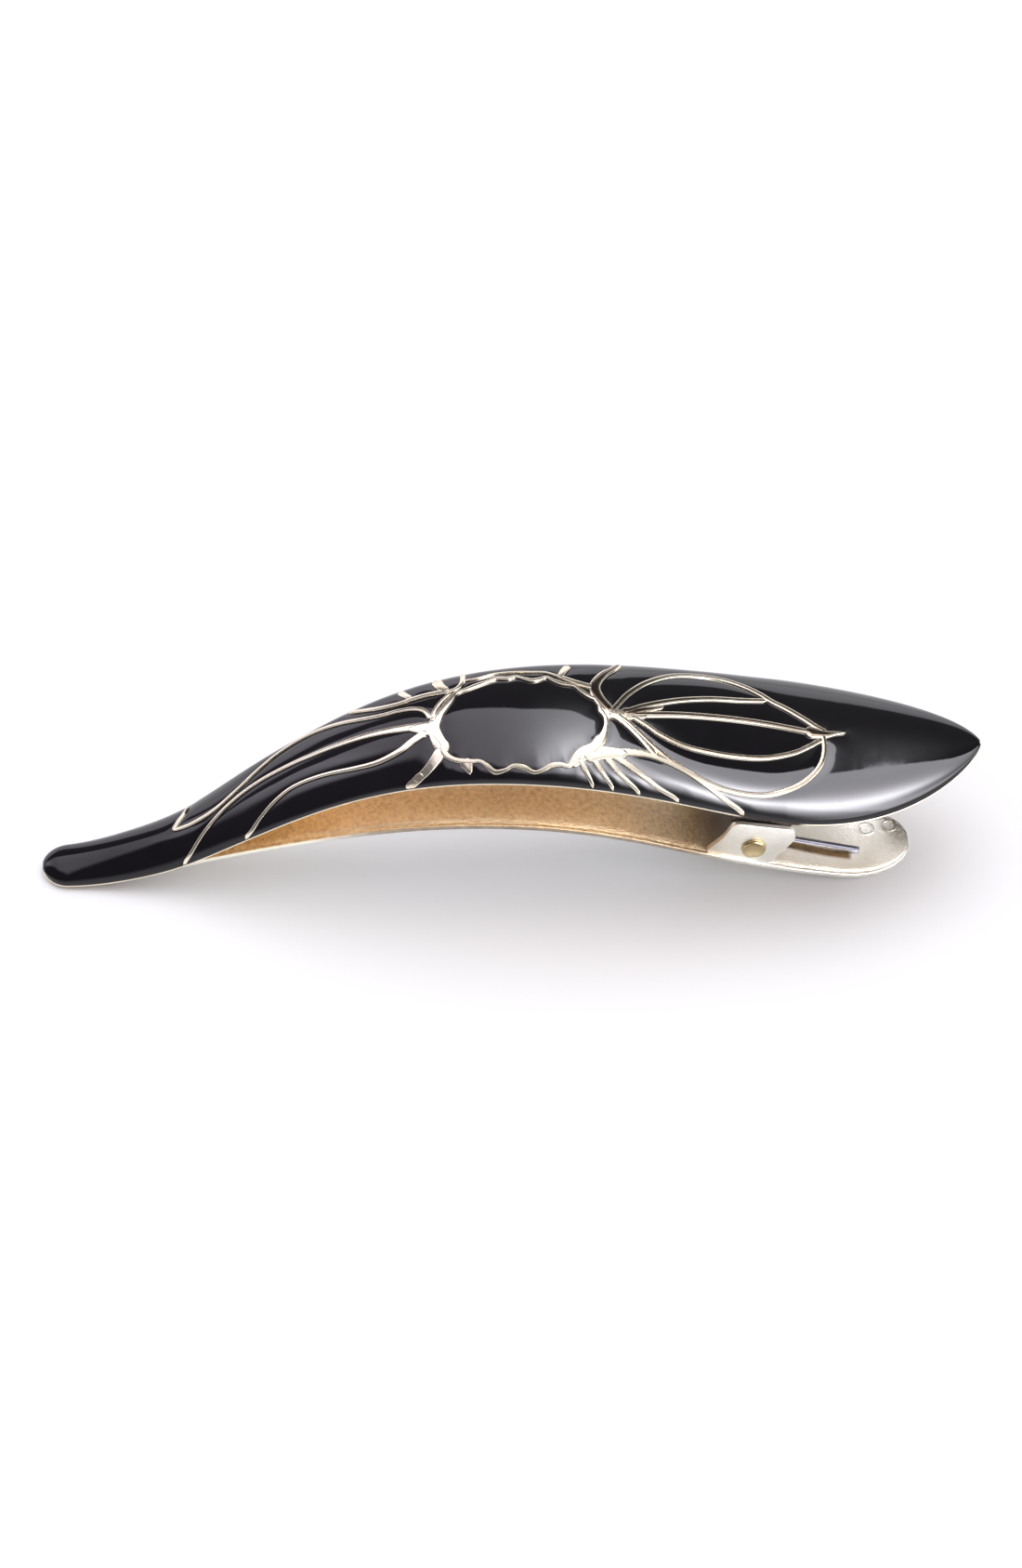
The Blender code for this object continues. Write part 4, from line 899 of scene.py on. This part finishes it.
# ------------------------------------------------------------------ world: a soft studio dome
world = bpy.data.worlds.new("studio")
bpy.context.scene.world = world
world.use_nodes = True
wt = world.node_tree
for nd in list(wt.nodes):
    wt.nodes.remove(nd)
wout = wt.nodes.new("ShaderNodeOutputWorld")
tc = wt.nodes.new("ShaderNodeTexCoord")
sep = wt.nodes.new("ShaderNodeSeparateXYZ")
wt.links.new(tc.outputs["Generated"], sep.inputs[0])


def wmath(op, a, b_=None, c_=None):
    n_ = wt.nodes.new("ShaderNodeMath")
    n_.operation = op
    for k, v in enumerate((a, b_, c_)):
        if v is None:
            continue
        if isinstance(v, (int, float)):
            n_.inputs[k].default_value = v
        else:
            wt.links.new(v, n_.inputs[k])
    return n_.outputs[0]


def wstep(v, lo, hi):
    n_ = wt.nodes.new("ShaderNodeMapRange")
    n_.interpolation_type = "SMOOTHSTEP"
    for key, q in (("Value", v), ("From Min", lo), ("From Max", hi)):
        if isinstance(q, (int, float)):
            n_.inputs[key].default_value = q
        else:
            wt.links.new(q, n_.inputs[key])
    return n_.outputs["Result"]


X_, Y_, Z_ = sep.outputs
el = wmath("MULTIPLY", wmath("ARCTAN2", Z_, Y_), 57.2958)       # 0 behind the object, 90 overhead, 180 at the front
lat = wmath("MULTIPLY", wmath("ARCSINE", X_), 57.2958)          # positive to the right


def wcurve(fac, lo, hi, stops, top):
    """piecewise linear curve held in a colour ramp"""
    r_ = wt.nodes.new("ShaderNodeValToRGB")
    els_ = r_.color_ramp.elements
    while len(els_) < len(stops):
        els_.new(0.5)
    for e_, (q, v) in zip(els_, stops):
        e_.position = (q - lo) / (hi - lo)
        e_.color = (v / top, v / top, v / top, 1.0)
    f_ = wmath("DIVIDE", wmath("SUBTRACT", fac, lo), hi - lo)
    wt.links.new(f_, r_.inputs["Fac"])
    return wmath("MULTIPLY", r_.outputs["Color"], top)


def wgauss(v, centre, width):
    q = wmath("DIVIDE", wmath("SUBTRACT", v, centre), width)
    return wmath("MULTIPLY", q, q)


e0 = wcurve(lat, -70, 70, [(-56, 18), (-48, 23), (-40, 31), (-13, 44), (0, 50), (8, 51), (15.5, 57), (16.6, 64), (17.6, 69), (20, 78), (26, 80), (40, 74)], 180)
pout = wcurve(lat, -70, 70, [(-56, 40), (-48, 52), (-32, 78), (-16, 112), (-6, 120), (22, 124), (28, 140), (36, 176)], 180)
amp = wcurve(lat, -70, 70, [(-62, 0.0), (-54, 1.4), (-48, 2.0), (-40, 1.4), (-32, 1.3), (-24, 1.55), (-16, 1.9), (-8, 2.1), (0, 2.6), (8, 3.4), (16, 4.7), (26, 5.6), (36, 4.6), (50, 2.6), (66, 1.6)], 8)
panel_in = wstep(el, wmath("SUBTRACT", e0, 0.8), wmath("ADD", e0, 0.8))
panel_out = wmath("SUBTRACT", 1.0, wstep(el, wmath("SUBTRACT", pout, 9.0), wmath("ADD", pout, 9.0)))
panel = wmath("MULTIPLY", wmath("MULTIPLY", panel_in, panel_out), amp)
hot1 = wmath("MULTIPLY", wmath("EXPONENT", wmath("MULTIPLY", wmath("ADD", wgauss(lat, 10.0, 7.0), wgauss(el, 92.0, 25.0)), -1.0)), 8.0)
el_w = wmath("DIVIDE", wmath("SUBTRACT", el, 123.0), wmath("ADD", 15.0, wmath("MULTIPLY", wstep(el, 119.0, 133.0), 9.0)))
lat_w = wmath("DIVIDE", wmath("SUBTRACT", lat, 27.0), wmath("SUBTRACT", 11.5, wmath("MULTIPLY", wstep(lat, 26.0, 36.0), 3.0)))
hot2 = wmath("MULTIPLY", wmath("EXPONENT", wmath("MULTIPLY", wmath("ADD", wmath("MULTIPLY", lat_w, lat_w), wmath("MULTIPLY", el_w, el_w)), -1.0)), 19.0)
hot = wmath("ADD", hot1, hot2)
horizon = wmath("MULTIPLY", wmath("SUBTRACT", 1.0, wstep(el, 12.5, 16.0)), 1.1)
frontlow = wmath("ADD", wmath("MULTIPLY", wstep(el, 155.0, 176.0), 0.5), wmath("MULTIPLY", wmath("MULTIPLY", wstep(el, 138.0, 158.0), wstep(lat, 16.0, 32.0)), 3.2))
gl = wmath("ADD", 0.17, wmath("ADD", panel, wmath("ADD", hot, wmath("ADD", horizon, frontlow))))
lp = wt.nodes.new("ShaderNodeLightPath")
bg_g = wt.nodes.new("ShaderNodeBackground")
bg_d = wt.nodes.new("ShaderNodeBackground")
tint = wt.nodes.new("ShaderNodeValToRGB")
tint.color_ramp.elements[0].position, tint.color_ramp.elements[0].color = 0.0, (1.0, 0.935, 1.075, 1)
tint.color_ramp.elements[1].position, tint.color_ramp.elements[1].color = 1.0, (0.985, 0.968, 1.03, 1)
wt.links.new(wstep(lat, -25.0, 10.0), tint.inputs["Fac"])
wt.links.new(tint.outputs["Color"], bg_g.inputs["Color"])
wt.links.new(gl, bg_g.inputs["Strength"])
bg_d.inputs["Color"].default_value = (0.985, 0.975, 1.03, 1)
zz = wmath("MAXIMUM", Z_, 0.0)
wt.links.new(wmath("ADD", 0.27, wmath("MULTIPLY", wmath("MULTIPLY", zz, zz), 1.36)), bg_d.inputs["Strength"])
first_hit = wmath("MULTIPLY", lp.outputs["Is Glossy Ray"], wmath("LESS_THAN", lp.outputs["Diffuse Depth"], 0.5))
mix = wt.nodes.new("ShaderNodeMixShader")
wt.links.new(first_hit, mix.inputs[0])
wt.links.new(bg_d.outputs[0], mix.inputs[1])
wt.links.new(bg_g.outputs[0], mix.inputs[2])
wt.links.new(mix.outputs[0], wout.inputs["Surface"])
world.cycles.sampling_method = "NONE"

key = bpy.data.lights.new("key", "AREA")
key.shape = "DISK"
key.size = 0.8
key.energy = 2.6
key_ob = bpy.data.objects.new("key", key)
key_ob.location = (0.05, 0.14, 0.95)
key_ob.rotation_euler = (Vector((0, 0, 0)) - key_ob.location).to_track_quat("-Z", "Y").to_euler()
bpy.context.scene.collection.objects.link(key_ob)
key_ob.visible_glossy = False

# ------------------------------------------------------------------ camera
E_, A_, D_ = math.radians(50.5), math.radians(-2.4), 0.75
back = Vector((math.sin(A_) * math.cos(E_), -math.cos(A_) * math.cos(E_), math.sin(E_)))
right = Vector((math.cos(A_), math.sin(A_), 0))
up = back.cross(right)
target = Vector((0.0, 0.0, 0.014))
cam = bpy.data.cameras.new("camera")
cam.sensor_fit = "HORIZONTAL"
cam.sensor_width = 36.0
FPX = 5667 * 1.003
cam.lens = FPX / 1100 * 36.0
cam.clip_start, cam.clip_end = 0.01, 20
cam_ob = bpy.data.objects.new("camera", cam)
px_m = D_ / FPX
pos = target + back * D_ + right * (3.3 * px_m) + up * (10.9 * px_m)
rot = Matrix((right, up, back)).transposed()
cam_ob.matrix_world = Matrix.Translation(pos) @ rot.to_4x4()
bpy.context.scene.collection.objects.link(cam_ob)
bpy.context.scene.camera = cam_ob
bpy.context.scene.view_settings.view_transform = "Standard"
bpy.context.scene.view_settings.look = "None"
